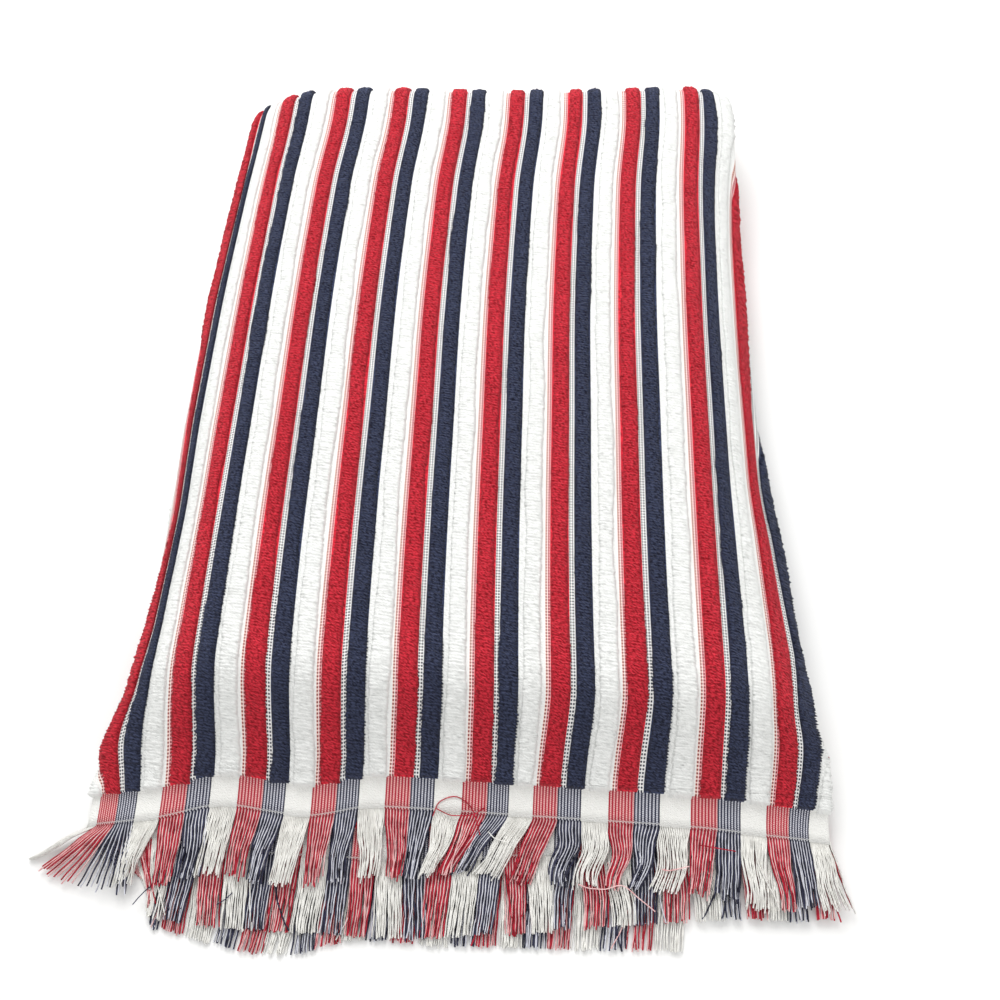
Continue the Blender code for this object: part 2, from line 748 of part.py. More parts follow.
class TopEnd:
    """Points past the cut end of the top level, where its three layers lie on each other."""

    locks = TOP_LOCKS

    def point(self, place, distance, side):
        return top_level(place, hem_y(place) - distance, side)

    def length(self, place):
        return CENTRE_LOCK_LENGTH if 2.0 <= place <= 3.0 else THIRDS_LOCK_LENGTH

    def lean(self, place):
        """The locks splay out at the corners."""
        if 2.0 <= place <= 3.0:
            across = (place - 2.5) * 2
            left, right = CORNER_LEAN
            return right * max(-across, 0.0) ** 4 - left * max(across, 0.0) ** 4
        return 0.0


class UnderEnd:
    """Points past the cut end of level three, which hang into the hollow behind the droop."""

    locks = UNDER_LOCKS

    def point(self, place, distance, side):
        x, y, z = lower_level(place, PATH_LENGTH + distance, side)
        start, steepness = UNDER_FALL
        return x, y, z - squash(x, y) * steepness * max(distance - start, 0.0)

    def length(self, place):
        return UNDER_LOCK_LENGTH

    def lean(self, place):
        return 0.0


# ---- all -----------------------------------------------------------------------------------------

def main():
    for item in list(bpy.data.objects):
        bpy.data.objects.remove(item)
    white = plain_material("white pile", (0.86, 0.86, 0.83), 0.95)
    red = plain_material("red pile", (0.55, 0.02, 0.05), 0.95)
    navy = plain_material("navy pile", (0.03, 0.04, 0.10), 0.95)
    yarn = plain_material("fringe yarn", (0.80, 0.74, 0.74), 0.9)
    make_towel([white, red, navy])
    make_fringe("fringe_top", TopEnd(), yarn)
    make_fringe("fringe_under", UnderEnd(), yarn)


main()
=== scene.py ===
import math
import bmesh
import bpy
import numpy as np
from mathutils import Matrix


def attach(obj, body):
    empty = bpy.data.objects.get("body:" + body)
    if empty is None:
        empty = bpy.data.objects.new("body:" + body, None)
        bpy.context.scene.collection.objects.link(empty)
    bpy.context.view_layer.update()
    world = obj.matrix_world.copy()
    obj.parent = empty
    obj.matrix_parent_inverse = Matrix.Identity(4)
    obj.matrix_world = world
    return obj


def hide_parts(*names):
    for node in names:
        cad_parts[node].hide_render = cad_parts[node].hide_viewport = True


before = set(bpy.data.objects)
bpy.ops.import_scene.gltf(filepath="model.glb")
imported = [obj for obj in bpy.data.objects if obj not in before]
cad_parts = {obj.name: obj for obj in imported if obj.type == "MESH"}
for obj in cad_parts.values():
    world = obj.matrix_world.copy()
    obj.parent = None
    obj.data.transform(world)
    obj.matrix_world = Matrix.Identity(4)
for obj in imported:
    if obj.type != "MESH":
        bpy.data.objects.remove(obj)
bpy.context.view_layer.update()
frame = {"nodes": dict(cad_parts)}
print("frame loaded:", ", ".join(frame["nodes"]))

# Sizes along the cloth are in mm. The tables use the towel's own x and y, and origin moves them to
# the frame's, where the middle of the folded towel's box is at 0, 0.
mm = 0.001
towel = {
    "origin": (-3.07, 7.11),
    "repeat": 31.2,          # one red, one navy and one white stripe, with the flat bands between
    "middle": 5.7,           # the repeat at x = 0
    "cloth": 2.2,
    "hemCloth": 1.0,
    "hemLength": 12.0,
    "pileStep": 0.8,
    "layerGap": 0.75,
    "levelGap": 0.8,
    "leftFold": 0.665,       # repeats at the side folds, at the near hem
    "rightFold": 10.665,
    "leftFixed": 1.205,      # between these two the crooked folds move nothing
    "rightFixed": 9.453,
    "leftShoulder": 2.0,
    "rightShoulder": 9.0,
    "mostCrowded": 1.75,
    "rightEdge": 1.45,       # the centre repeat over the right third's free edge
    "leftEdge": 8.745,
    "rightSelvedge": 20.0,   # the stripes' own count at the two selvedges
    "leftSelvedge": -7.6,
    "farFold": 198.0,
    "nearFold": -103.0,
    "underEnd": -104.0,
    "droop": -96.0,
    "shoulderWidth": 48.0,
    "shoulderPower": 2.2,
    "lowerInset": 2.5,
    "insetRamp": 40.0,
    "foldRoom": 0.5,         # how much further the side folds stand out than their round
    "swayStart": -112.0,     # nearer than this the stripes swing and the pleat stands
    "swayRamp": 34.0,
    "reachStart": 40.0,      # further than this the far end starts to reach out unevenly
    "reachRamp": 170.0,
    "fringeY": -165.0,       # where the fringe's places across the cloth are read
    "waveHeight": 0.9,
    "waveStart": (-150.0, 60.0),   # y where the slow waves start, and the length they grow over
    "waveEnd": (10.0, 70.0),       # the same at their end, counted from past the far fold
    "waves": ((31.0, 57.0, 0.0), (-66.0, 41.0, 1.3)),   # mm in x and y for a radian, and its start
    "pleat": (-68.0, 9.0, 1.8, 30.0),   # x, width, height and ramp
}
layer = towel["cloth"] + towel["layerGap"]
strip = 3 * towel["cloth"] + 2 * towel["layerGap"]
levels = {
    "one": towel["cloth"] / 2,
    "two": 2 * strip + towel["levelGap"] - towel["cloth"] / 2,
    "three": 2 * strip + 2 * towel["levelGap"] + towel["cloth"] / 2,
    "four": 4 * strip + 3 * towel["levelGap"] - towel["cloth"] / 2,
}
farRadius = (levels["four"] - levels["one"]) / 2
nearRadius = (levels["two"] - levels["one"]) / 2
innerRadius = (levels["three"] - levels["two"]) / 2
leftTurn = layer + towel["foldRoom"]
rightTurn = layer / 2 + towel["foldRoom"]

# Below the top level the folded strip has six stretches. These are the lengths at which they start.
farArc, nearArc, innerArc = (math.pi * radius for radius in (farRadius, nearRadius, innerRadius))
run = towel["farFold"] - towel["nearFold"]
stretches = np.cumsum((0.0, farArc, run, nearArc, run, innerArc))
pathLength = stretches[-1] + towel["farFold"] - towel["underEnd"]

outline = (
    # y, left x, right x, left repeat, right repeat
    (-190.0, -151.5, 151.3, 0.700, 10.680),
    (-160.0, -151.5, 151.3, 0.725, 10.680),
    (-150.0, -150.0, 151.0, 0.900, 10.610),
    (-140.0, -149.0, 150.8, 1.020, 10.530),
    (-129.0, -145.5, 149.5, 1.080, 10.450),
    (-115.0, -141.0, 145.6, 1.110, 10.400),
    (-86.0, -138.6, 141.0, 1.010, 10.230),
    (-37.0, -138.2, 136.5, 0.915, 10.290),
    (-16.0, -139.0, 133.5, 0.915, 10.300),
    (16.0, -140.3, 130.5, 0.930, 10.160),
    (75.0, -140.7, 128.1, 0.980, 10.070),
    (141.0, -138.2, 126.0, 1.045, 9.900),
    (189.0, -136.0, 124.6, 1.140, 9.690),
    (217.0, -134.5, 119.8, 1.140, 9.690),
)
topUnder = levels["four"] - towel["cloth"] / 2
droop = (
    # y, height of the underside of the centre, of the right third, of the left third
    (-220.0, 1.30, 0.60, 0.00),
    (-205.0, 2.20, 1.30, 0.00),
    (-196.0, 3.10, 1.60, 0.00),
    (-186.0, 4.10, 2.10, 0.00),
    (-176.0, 4.80, 2.60, 0.00),
    (-166.0, 5.40, 2.80, 0.00),
    (-160.0, 5.90, 3.30, 0.40),
    (-152.0, 7.70, 4.90, 1.90),
    (-144.0, 11.00, 8.00, 5.00),
    (-136.0, 15.50, 12.40, 9.30),
    (-128.0, 20.90, 17.80, 14.70),
    (-120.0, 26.20, 23.10, 20.00),
    (-112.0, 30.60, 27.65, 24.70),
    (-104.0, 32.40, 29.45, 26.55),
    (towel["droop"], topUnder, topUnder - layer, topUnder - 2 * layer),
)
centreHem = (
    # x, y of the cut end
    (-154.0, -171.5),
    (-124.0, -167.0),
    (-95.0, -160.5),
    (-64.0, -163.5),
    (-33.0, -158.3),
    (33.0, -159.3),
    (97.0, -160.5),
    (120.0, -162.0),
    (152.0, -164.0),
)
rightHem = (
    # x, y
    (-133.0, -173.0),
    (-87.0, -178.0),
    (-26.0, -178.5),
    (38.0, -173.0),
    (111.0, -165.0),
    (152.0, -164.0),
)
leftHem = (
    # x, y
    (-154.0, -171.5),
    (-120.0, -178.0),
    (-70.0, -187.0),
    (-36.0, -180.0),
    (30.0, -179.5),
    (95.0, -178.0),
)
shoulders = (
    # y, share of the height kept at the left edge and at the right edge
    (-166.0, 1.00, 1.00),
    (-152.0, 0.94, 0.94),
    (-140.0, 0.80, 0.80),
    (-126.0, 0.64, 0.64),
    (-112.0, 0.55, 0.55),
    (-60.0, 0.50, 0.50),
    (120.0, 0.50, 0.50),
    (190.0, 0.50, 0.95),
    (217.0, 0.50, 1.00),
)
bow = (
    # y, how far the stripes bend to the side there
    (-140.0, 1.3),
    (-116.0, -0.7),
    (-37.0, -3.3),
    (16.0, -4.1),
    (75.0, -4.9),
    (141.0, -3.8),
    (189.0, -0.4),
    (217.0, -0.4),
)
bowShare = (
    # repeat, share of the bow
    (2.0, 0.50),
    (3.4, 1.00),
    (8.0, 1.00),
    (9.0, 0.55),
)
nearSway = (
    # repeat, how far the stripes swing to the side at the near end
    (1.0, 0.8),
    (2.0, -0.3),
    (3.0, -0.5),
    (4.0, -1.4),
    (5.0, -2.5),
    (6.0, -2.0),
    (7.0, -4.5),
    (8.0, -4.5),
    (9.0, -1.0),
    (10.0, 0.0),
)
farReach = (
    # x, how much further the far end reaches there
    (-140.0, 5.5),
    (-110.0, 8.0),
    (-60.0, 11.5),
    (0.0, 12.5),
    (60.0, 16.5),
    (100.0, 19.5),
    (130.0, 15.0),
)
stripes = {
    # start and end of each band, in repeats from the middle of the red rib
    "red": (-0.124, 0.124),
    "navy": (0.206, 0.443),
    "white": (0.512, 0.768),
}


def readTable(table, value, column):
    # a smooth curve through the rows, level at each peak and dip
    rows = np.array(table)
    at, out = rows[:, 0], rows[:, column]
    lean = np.diff(out) / np.diff(at)
    slopes = np.concatenate((lean[:1], np.zeros(len(at) - 2), lean[-1:]))
    for k in range(1, len(at) - 1):
        if lean[k - 1] * lean[k] > 0:
            slopes[k] = 2 * lean[k - 1] * lean[k] / (lean[k - 1] + lean[k])
    value = np.clip(value, at[0], at[-1])
    k = np.clip(np.searchsorted(at, value, side="right") - 1, 0, len(at) - 2)
    width = at[k + 1] - at[k]
    t = (value - at[k]) / width
    bend = (1 - t) * slopes[k] - t * slopes[k + 1]
    return out[k] + (out[k + 1] - out[k]) * t + t * (1 - t) * width * (bend - (1 - 2 * t) * lean[k])


def clampTo(value):
    return np.clip(value, 0.0, 1.0)


def easeIn(share):
    share = clampTo(share)
    return share * share * (3 - 2 * share)


# A place across the folded strip: 0 to 1 right third from its free edge, 1 to 2 right fold,
# 2 to 3 centre panel, 3 to 4 left fold, 4 to 5 left third.
def centrePlace(repeat):
    return 2.0 + (towel["rightFold"] - repeat) / (towel["rightFold"] - towel["leftFold"])


def foldKnots(y):
    # places where the stripes' count is known, and the count there
    left, right = readTable(outline, y, 3), readTable(outline, y, 4)
    rightWrap = math.pi * layer / 2 / towel["repeat"]
    leftWrap = math.pi * layer / towel["repeat"]
    fixedRight, fixedLeft = centrePlace(towel["rightFixed"]), centrePlace(towel["leftFixed"])
    places = (0.0, 1.0, 2.0, fixedRight, fixedLeft, 3.0, 4.0, 5.0)
    counts = (towel["rightSelvedge"], right + rightWrap, right, towel["rightFixed"],
              towel["leftFixed"], left, left - leftWrap, towel["leftSelvedge"])
    return places, counts


def stepThrough(value, start, end):
    # joins the knots by straight lines
    total = start[0]
    for k in range(len(start) - 1):
        total = total + (end[k + 1] - end[k]) * clampTo((value - start[k]) / (start[k + 1] - start[k]))
    return total - start[0] + end[0]


def stripeAt(place, y):
    places, counts = foldKnots(y)
    return stepThrough(place, places, counts)


def placeOf(stripe, y):
    places, counts = foldKnots(y)
    return stepThrough(stripe, counts, places)


def flatRepeat(place):
    # the centre repeat that a place lies on or under
    across = towel["rightFold"] - (np.clip(place, 2, 3) - 2) * (towel["rightFold"] - towel["leftFold"])
    under = towel["rightEdge"] + place * (towel["rightFold"] - towel["rightEdge"])
    over = towel["leftFold"] + (place - 4) * (towel["leftEdge"] - towel["leftFold"])
    return np.where(place < 1, under, np.where(place > 4, over, across))


def flatX(repeat, y):
    bent = readTable(bow, y, 1) * readTable(bowShare, repeat, 1)
    swung = readTable(nearSway, repeat, 1) * easeIn((towel["swayStart"] - y) / towel["swayRamp"])
    return (repeat - towel["middle"]) * towel["repeat"] + bent + swung


def layerX(repeat, y, inset):
    leftX = readTable(outline, y, 1) + leftTurn + inset
    rightX = readTable(outline, y, 2) - rightTurn - inset

    def shoulder(start, fold, foldX):
        startX = flatX(start, y)
        share = (repeat - start) / (fold - start)
        crowd = np.abs(towel["repeat"] * (fold - start) / (foldX - startX))
        crowd = np.minimum(crowd, towel["mostCrowded"])
        return startX + (foldX - startX) * (crowd * share - (crowd - 1) * share * share)

    left = shoulder(towel["leftShoulder"], readTable(outline, y, 3), leftX)
    right = shoulder(towel["rightShoulder"], readTable(outline, y, 4), rightX)
    return np.where(repeat < towel["leftShoulder"], left,
                    np.where(repeat > towel["rightShoulder"], right, flatX(repeat, y)))


def foldAngles(place):
    return (2 - np.clip(place, 1, 2)) * math.pi, (np.clip(place, 3, 4) - 3) * math.pi


def section(place, y, inset):
    right, left = foldAngles(place)
    repeat = stripeAt(centrePlace(flatRepeat(place)), y)
    x = layerX(repeat, y, inset) + layer / 2 * np.sin(right) - layer * np.sin(left)
    return x, (1 - np.cos(right)) / 2 + (1 - np.cos(left))


def outward(place):
    right, left = foldAngles(place)
    return np.sin(right) - np.sin(left), np.cos(right) * np.cos(left)


def hemY(place):
    place = np.asarray(place, dtype=float)
    x = section(place, np.full(place.shape, centreHem[0][1]), 0.0)[0]
    centre, right, left = (readTable(table, x, 1) for table in (centreHem, rightHem, leftHem))
    return np.where(place < 1, right, np.where(place > 4, left, centre))


def squash(x, y):
    edge = np.where(x < 0, -readTable(outline, y, 1), readTable(outline, y, 2))
    share = clampTo((np.abs(x) - edge + towel["shoulderWidth"]) / towel["shoulderWidth"])
    kept = np.where(x < 0, readTable(shoulders, y, 1), readTable(shoulders, y, 2))
    return 1 - (1 - kept) * share ** towel["shoulderPower"]


def plateauWave(x, y):
    start, startRamp = towel["waveStart"]
    end, endRamp = towel["waveEnd"]
    calm = easeIn((y - start) / startRamp) * easeIn((towel["farFold"] + end - y) / endRamp)
    swell = sum(np.sin(x / alongX + y / alongY + first) for alongX, alongY, first in towel["waves"])
    wave = 0.5 + 0.25 * swell
    pleatX, pleatWidth, pleatHeight, pleatRamp = towel["pleat"]
    ridge = np.exp(-((x - pleatX) / pleatWidth) ** 2) * easeIn((towel["swayStart"] - y) / pleatRamp)
    return towel["waveHeight"] * wave * calm + pleatHeight * ridge


def stripPath(length):
    # where the folded strip runs below its top level: y, z and the outward direction
    middle = (levels["four"] + levels["one"]) / 2
    far = np.clip(length, 0, farArc) / farRadius
    near = np.clip(length - stretches[2], 0, nearArc) / nearRadius
    inner = np.clip(length - stretches[4], 0, innerArc) / innerRadius
    choices = (
        # y, z, outward y, outward z of each stretch
        (towel["farFold"] + farRadius * np.sin(far), middle + farRadius * np.cos(far),
         np.sin(far), np.cos(far)),
        (towel["farFold"] - (length - stretches[1]), levels["one"], 0.0, -1.0),
        (towel["nearFold"] - nearRadius * np.sin(near), levels["one"] + nearRadius * (1 - np.cos(near)),
         -np.sin(near), -np.cos(near)),
        (towel["nearFold"] + (length - stretches[3]), levels["two"], 0.0, 1.0),
        (towel["farFold"] + innerRadius * np.sin(inner), levels["two"] + innerRadius * (1 - np.cos(inner)),
         -np.sin(inner), np.cos(inner)),
        (towel["farFold"] - (length - stretches[5]), levels["three"], 0.0, -1.0),
    )
    which = np.clip(np.searchsorted(stretches, length, side="right") - 1, 0, 5)
    return [np.choose(which, [np.broadcast_to(c[k], which.shape) for c in choices]) for k in range(4)]


def clothThickness(fromEnd):
    pileShare = clampTo((fromEnd - towel["hemLength"]) / towel["pileStep"])
    return towel["hemCloth"] + (towel["cloth"] - towel["hemCloth"]) * pileShare


def clothPoint(place, along, side, lift=0.0):
    # side is 1 on the face of the cloth, -1 on its back and 0 between; along is y on the top level,
    # and past the far fold it runs on by the length of the strip
    place, along = np.broadcast_arrays(np.asarray(place, float), np.asarray(along, float))
    outX, outZ = outward(place)
    onTop = along <= towel["farFold"]
    thick = clothThickness(along - hemY(place))
    x, depth = section(place, along, 0.0)
    x = x + outX * side * thick / 2
    centreLow, rightLow, leftLow = (readTable(droop, along, column) for column in (1, 2, 3))
    low = np.where(depth <= 1, centreLow * (1 - depth) + rightLow * depth,
                   rightLow * (2 - depth) + leftLow * (depth - 1))
    z = squash(x, along) * (low + thick / 2 + outZ * side * thick / 2)
    z = z + plateauWave(x, along) * clampTo(1 - depth) ** 2
    top = (x + outX * lift, along, z + outZ * lift)

    length = np.maximum(along - towel["farFold"], 0.0)
    pathY, pathZ, outY, outUp = stripPath(length)
    inset = towel["lowerInset"] * easeIn((towel["farFold"] - pathY) / towel["insetRamp"])
    x, depth = section(place, pathY, inset)
    reach = side * clothThickness(pathLength - length) / 2
    out = outZ * reach - layer * depth
    y = pathY + out * outY
    x = x + outX * reach
    z = squash(x, y) * (pathZ + out * outUp)
    lower = (x + outX * lift, y + outZ * lift * outY, z + outZ * lift * outUp)

    x, y, z = (np.where(onTop, t, b) for t, b in zip(top, lower))
    y = y + readTable(farReach, x, 1) * easeIn((y - towel["reachStart"]) / towel["reachRamp"])
    return np.stack((x - towel["origin"][0], y - towel["origin"][1], np.maximum(z, 0.0)), axis=-1) * mm


def stripYOf(along):
    return np.where(along <= towel["farFold"], along, stripPath(np.maximum(along - towel["farFold"], 0))[0])


def linkPiece(name, points, faces, materials, faceSlots=None, uv=None, shade=None):
    mesh = bpy.data.meshes.new(name)
    points = np.asarray(points, np.float32).reshape(-1, 3)
    faces = np.asarray(faces, np.int32)
    corners = faces.shape[1]
    used = np.unique(faces)
    newIndex = np.full(len(points), -1, np.int32)
    newIndex[used] = np.arange(len(used))
    faces = newIndex[faces]
    mesh.vertices.add(len(used))
    mesh.vertices.foreach_set("co", points[used].ravel())
    mesh.loops.add(faces.size)
    mesh.loops.foreach_set("vertex_index", faces.ravel())
    mesh.polygons.add(len(faces))
    mesh.polygons.foreach_set("loop_start", np.arange(len(faces), dtype=np.int32) * corners)
    for material in materials:
        mesh.materials.append(material)
    if faceSlots is not None:
        mesh.polygons.foreach_set("material_index", np.asarray(faceSlots, np.int32))
    if uv is not None:
        layerUV = mesh.uv_layers.new(name="cloth")
        layerUV.data.foreach_set("uv", np.asarray(uv, np.float32).reshape(-1, 2)[used][faces.ravel()].ravel())
    if shade is not None:
        shadeLayer = mesh.attributes.new("shade", "FLOAT", "POINT")
        shadeLayer.data.foreach_set("value", np.asarray(shade, np.float32).ravel()[used])
    mesh.update(calc_edges=True)
    mesh.validate()
    mesh.shade_smooth()
    piece = bpy.data.objects.new(name, mesh)
    bpy.context.scene.collection.objects.link(piece)
    return piece


def gridFaces(rows, columns, offset=0):
    index = np.arange(rows * columns).reshape(rows, columns) + offset
    return np.stack((index[:-1, :-1], index[:-1, 1:], index[1:, 1:], index[1:, :-1]), axis=-1).reshape(-1, 4)


# Materials: each is a few nodes on the cloth's own map, which is in metres.
cotton = {
    "pile": (0.95, 0.08),    # roughness and sheen
    "ground": (0.95, 0.05),
    "yarn": (0.9, 0.05),
    "floor": (0.9, 0.0),
    "sheenRoughness": 0.6,
    "specular": 0.15,
    "fleck": (0.40, 0.54),   # noise at which a fleck of the pile is all painted gap shade and all lit loop
    "base": 0.85,            # share of the light colour in a light fleck
    "patches": (45.0, 0.3),  # scale, and share of the colour that it changes
    "fibres": (2100.0, 0.3),
    "yarnPatches": (260.0, 0.34, 0.62),
    "yarnTwist": (420.0, 4.0, 0.0002),   # scale, distortion and depth
}


def newMaterial(name, roughness, sheen):
    material = bpy.data.materials.new(name)
    material.use_nodes = True
    shader = material.node_tree.nodes["Principled BSDF"]
    shader.inputs["Roughness"].default_value = roughness
    shader.inputs["Sheen Weight"].default_value = sheen
    shader.inputs["Sheen Roughness"].default_value = cotton["sheenRoughness"]
    shader.inputs["Specular IOR Level"].default_value = cotton["specular"]
    return material, material.node_tree, shader


def addMath(tree, operation, first, second=None, third=None):
    node = tree.nodes.new("ShaderNodeMath")
    node.operation = operation
    for socket, value in zip(node.inputs, (first, second, third)):
        if isinstance(value, (int, float)):
            socket.default_value = value
        elif value is not None:
            tree.links.new(value, socket)
    return node.outputs[0]


def between(tree, value, low, high):
    above = addMath(tree, "GREATER_THAN", value, low)
    below = addMath(tree, "LESS_THAN", value, high)
    return addMath(tree, "MULTIPLY", above, below)


def mixColour(tree, factor, first, second):
    node = tree.nodes.new("ShaderNodeMix")
    node.data_type = "RGBA"
    for socket, value in ((node.inputs[0], factor), (node.inputs[6], first), (node.inputs[7], second)):
        if isinstance(value, tuple):
            socket.default_value = (*value, 1.0)
        elif isinstance(value, (int, float)):
            socket.default_value = value
        else:
            tree.links.new(value, socket)
    return node.outputs[2]


def addNoise(tree, vector, scale, detail=2.0):
    node = tree.nodes.new("ShaderNodeTexNoise")
    node.inputs["Scale"].default_value = scale
    node.inputs["Detail"].default_value = detail
    tree.links.new(vector, node.inputs["Vector"])
    return node.outputs["Fac"]


def addBump(tree, shader, height, distance, strength=1.0):
    bump = tree.nodes.new("ShaderNodeBump")
    bump.inputs["Distance"].default_value = distance
    bump.inputs["Strength"].default_value = strength
    tree.links.new(height, bump.inputs["Height"])
    tree.links.new(bump.outputs[0], shader.inputs["Normal"])


colours = {
    # cotton in linear light; for the pile, the lit loops and the painted shade of the gaps between them
    "redPile": (0.860, 0.036, 0.064),
    "redGapShade": (0.300, 0.004, 0.012),
    "navyPile": (0.062, 0.078, 0.150),
    "navyGapShade": (0.010, 0.012, 0.030),
    "whitePile": (0.880, 0.885, 0.865),
    "whiteGapShade": (0.720, 0.730, 0.710),
    "redWarp": (0.430, 0.014, 0.034),
    "pinkWarp": (0.880, 0.500, 0.490),
    "navyWarp": (0.022, 0.024, 0.052),
    "greyWarp": (0.680, 0.690, 0.760),
    "whiteWarp": (0.880, 0.875, 0.840),
    "stitch": (0.920, 0.910, 0.880),
    "flatWhite": (0.880, 0.880, 0.862),
    "pinkNearRedReflection": (0.900, 0.420, 0.440),     # the pink line beside the red pile: a pink warp line, its deeper pink a painted reflection of the red pile
    "pinkFar": (0.900, 0.660, 0.580),
    "redDot": (0.240, 0.024, 0.026),
    "navyDot": (0.010, 0.012, 0.034),
}
weave = {
    "rowPitch": 1.33,        # mm between rows
    "dotPitch": 1.10,        # mm between columns of dots in the flat bands
    "dotWide": 0.29,         # half a dot's share of a column
    "dotTall": 0.27,         # half a dot's share of a row
    "hemPitch": 1.29,        # mm between the dark lines of the hem
    "hemDark": 0.50,         # a dark line's share of its pitch
    "zigzag": (0.40, 0.70),  # mm, half the length of a zigzag, and its lean
    "crossing": 0.34,        # share of a zigzag where the dark thread crosses the pale one
    "redStart": 0.230,       # repeats, how far left of the red rib's middle the hem's lines start
    "redLines": 8.0,
    "navyLines": 15.5,       # the line where the plain white begins
    "dashLong": 1.45,        # mm, one fleck of pile
    "dashTall": 0.62,
    "dashSlant": 0.50,
    "pinkStart": 0.235,      # repeats, how far left of the red rib's middle the pink band starts
    "redEdge": 0.105,        # from there: where red pile, blue dots, navy pile and white pile start
    "blueEdge": 0.365,
    "navyEdge": 0.440,
    "whiteEdge": 0.682,
    "blueShift": 0.1,        # mm
    "pinkWide": 0.12,        # how much wider than a dot half a pink line is
    "stitch": (0.65, 0.9, 0.5, 0.22),   # mm, half its length, its lean, its place, half its thickness
    "stitchShare": 0.6,
    "hemOver": 0.3,          # mm, how far the hem's lines run on
    "weftPitch": 0.62,       # mm
    "relief": 0.3,           # mm
}


def clothUV(tree):
    # the cloth's own map: across it and along it, in metres
    uv = tree.nodes.new("ShaderNodeUVMap")
    uv.uv_map = "cloth"
    parts = tree.nodes.new("ShaderNodeSeparateXYZ")
    tree.links.new(uv.outputs[0], parts.inputs[0])
    return parts.outputs[0], parts.outputs[1]


def addDashes(tree, across, along):
    # short slanting flecks, as loops lie in a row
    place = tree.nodes.new("ShaderNodeCombineXYZ")
    tree.links.new(addMath(tree, "DIVIDE", across, weave["dashLong"] * mm), place.inputs[0])
    leaning = addMath(tree, "MULTIPLY_ADD", across, weave["dashSlant"], along)
    tree.links.new(addMath(tree, "DIVIDE", leaning, weave["dashTall"] * mm), place.inputs[1])
    return addNoise(tree, place.outputs[0], 1.0, 3.0)


def stepUp(tree, value, low, high):
    # 0 below low, 1 above high
    node = tree.nodes.new("ShaderNodeMapRange")
    node.interpolation_type = "SMOOTHSTEP"
    tree.links.new(value, node.inputs["Value"])
    node.inputs["From Min"].default_value = low
    node.inputs["From Max"].default_value = high
    return node.outputs["Result"]


def nearMiddle(tree, value, pitch, half):
    # 1 near the middle of each pitch
    share = addMath(tree, "FRACT", addMath(tree, "DIVIDE", value, pitch))
    return addMath(tree, "LESS_THAN", addMath(tree, "ABSOLUTE", addMath(tree, "SUBTRACT", share, 0.5)), half)


def makePileMaterial(name, light, deep, contrast, depth):
    # the lit loop colour and the painted shade of the gaps, mixed in slanting flecks
    material, tree, shader = newMaterial(name, *cotton["pile"])
    across, along = clothUV(tree)
    shade = tree.nodes.new("ShaderNodeAttribute")
    shade.attribute_name = "shade"
    position = tree.nodes.new("ShaderNodeTexCoord").outputs["Object"]
    dashes = addDashes(tree, across, along)
    patchScale, patchShare = cotton["patches"]
    fibreScale, fibreShare = cotton["fibres"]
    patch = addNoise(tree, position, patchScale)
    fibres = addNoise(tree, position, fibreScale)
    factor = addMath(tree, "MULTIPLY", stepUp(tree, dashes, *cotton["fleck"]), contrast)
    patch = addMath(tree, "MULTIPLY_ADD", patch, patchShare, cotton["base"] - contrast - patchShare / 2)
    factor = addMath(tree, "SUBTRACT", addMath(tree, "ADD", factor, patch), fibreShare / 2)
    factor = addMath(tree, "MULTIPLY_ADD", fibres, fibreShare, factor)
    # painted shade from the 'shade' attribute: darker in the dips between rows and at the rib's sides
    factor = addMath(tree, "MULTIPLY", factor, shade.outputs["Fac"])
    factor = addMath(tree, "MINIMUM", addMath(tree, "MAXIMUM", factor, 0.0), 1.0)
    tree.links.new(mixColour(tree, factor, deep, light), shader.inputs["Base Color"])
    addBump(tree, shader, addMath(tree, "MULTIPLY_ADD", fibres, 0.5, dashes), depth, 0.9)
    return material


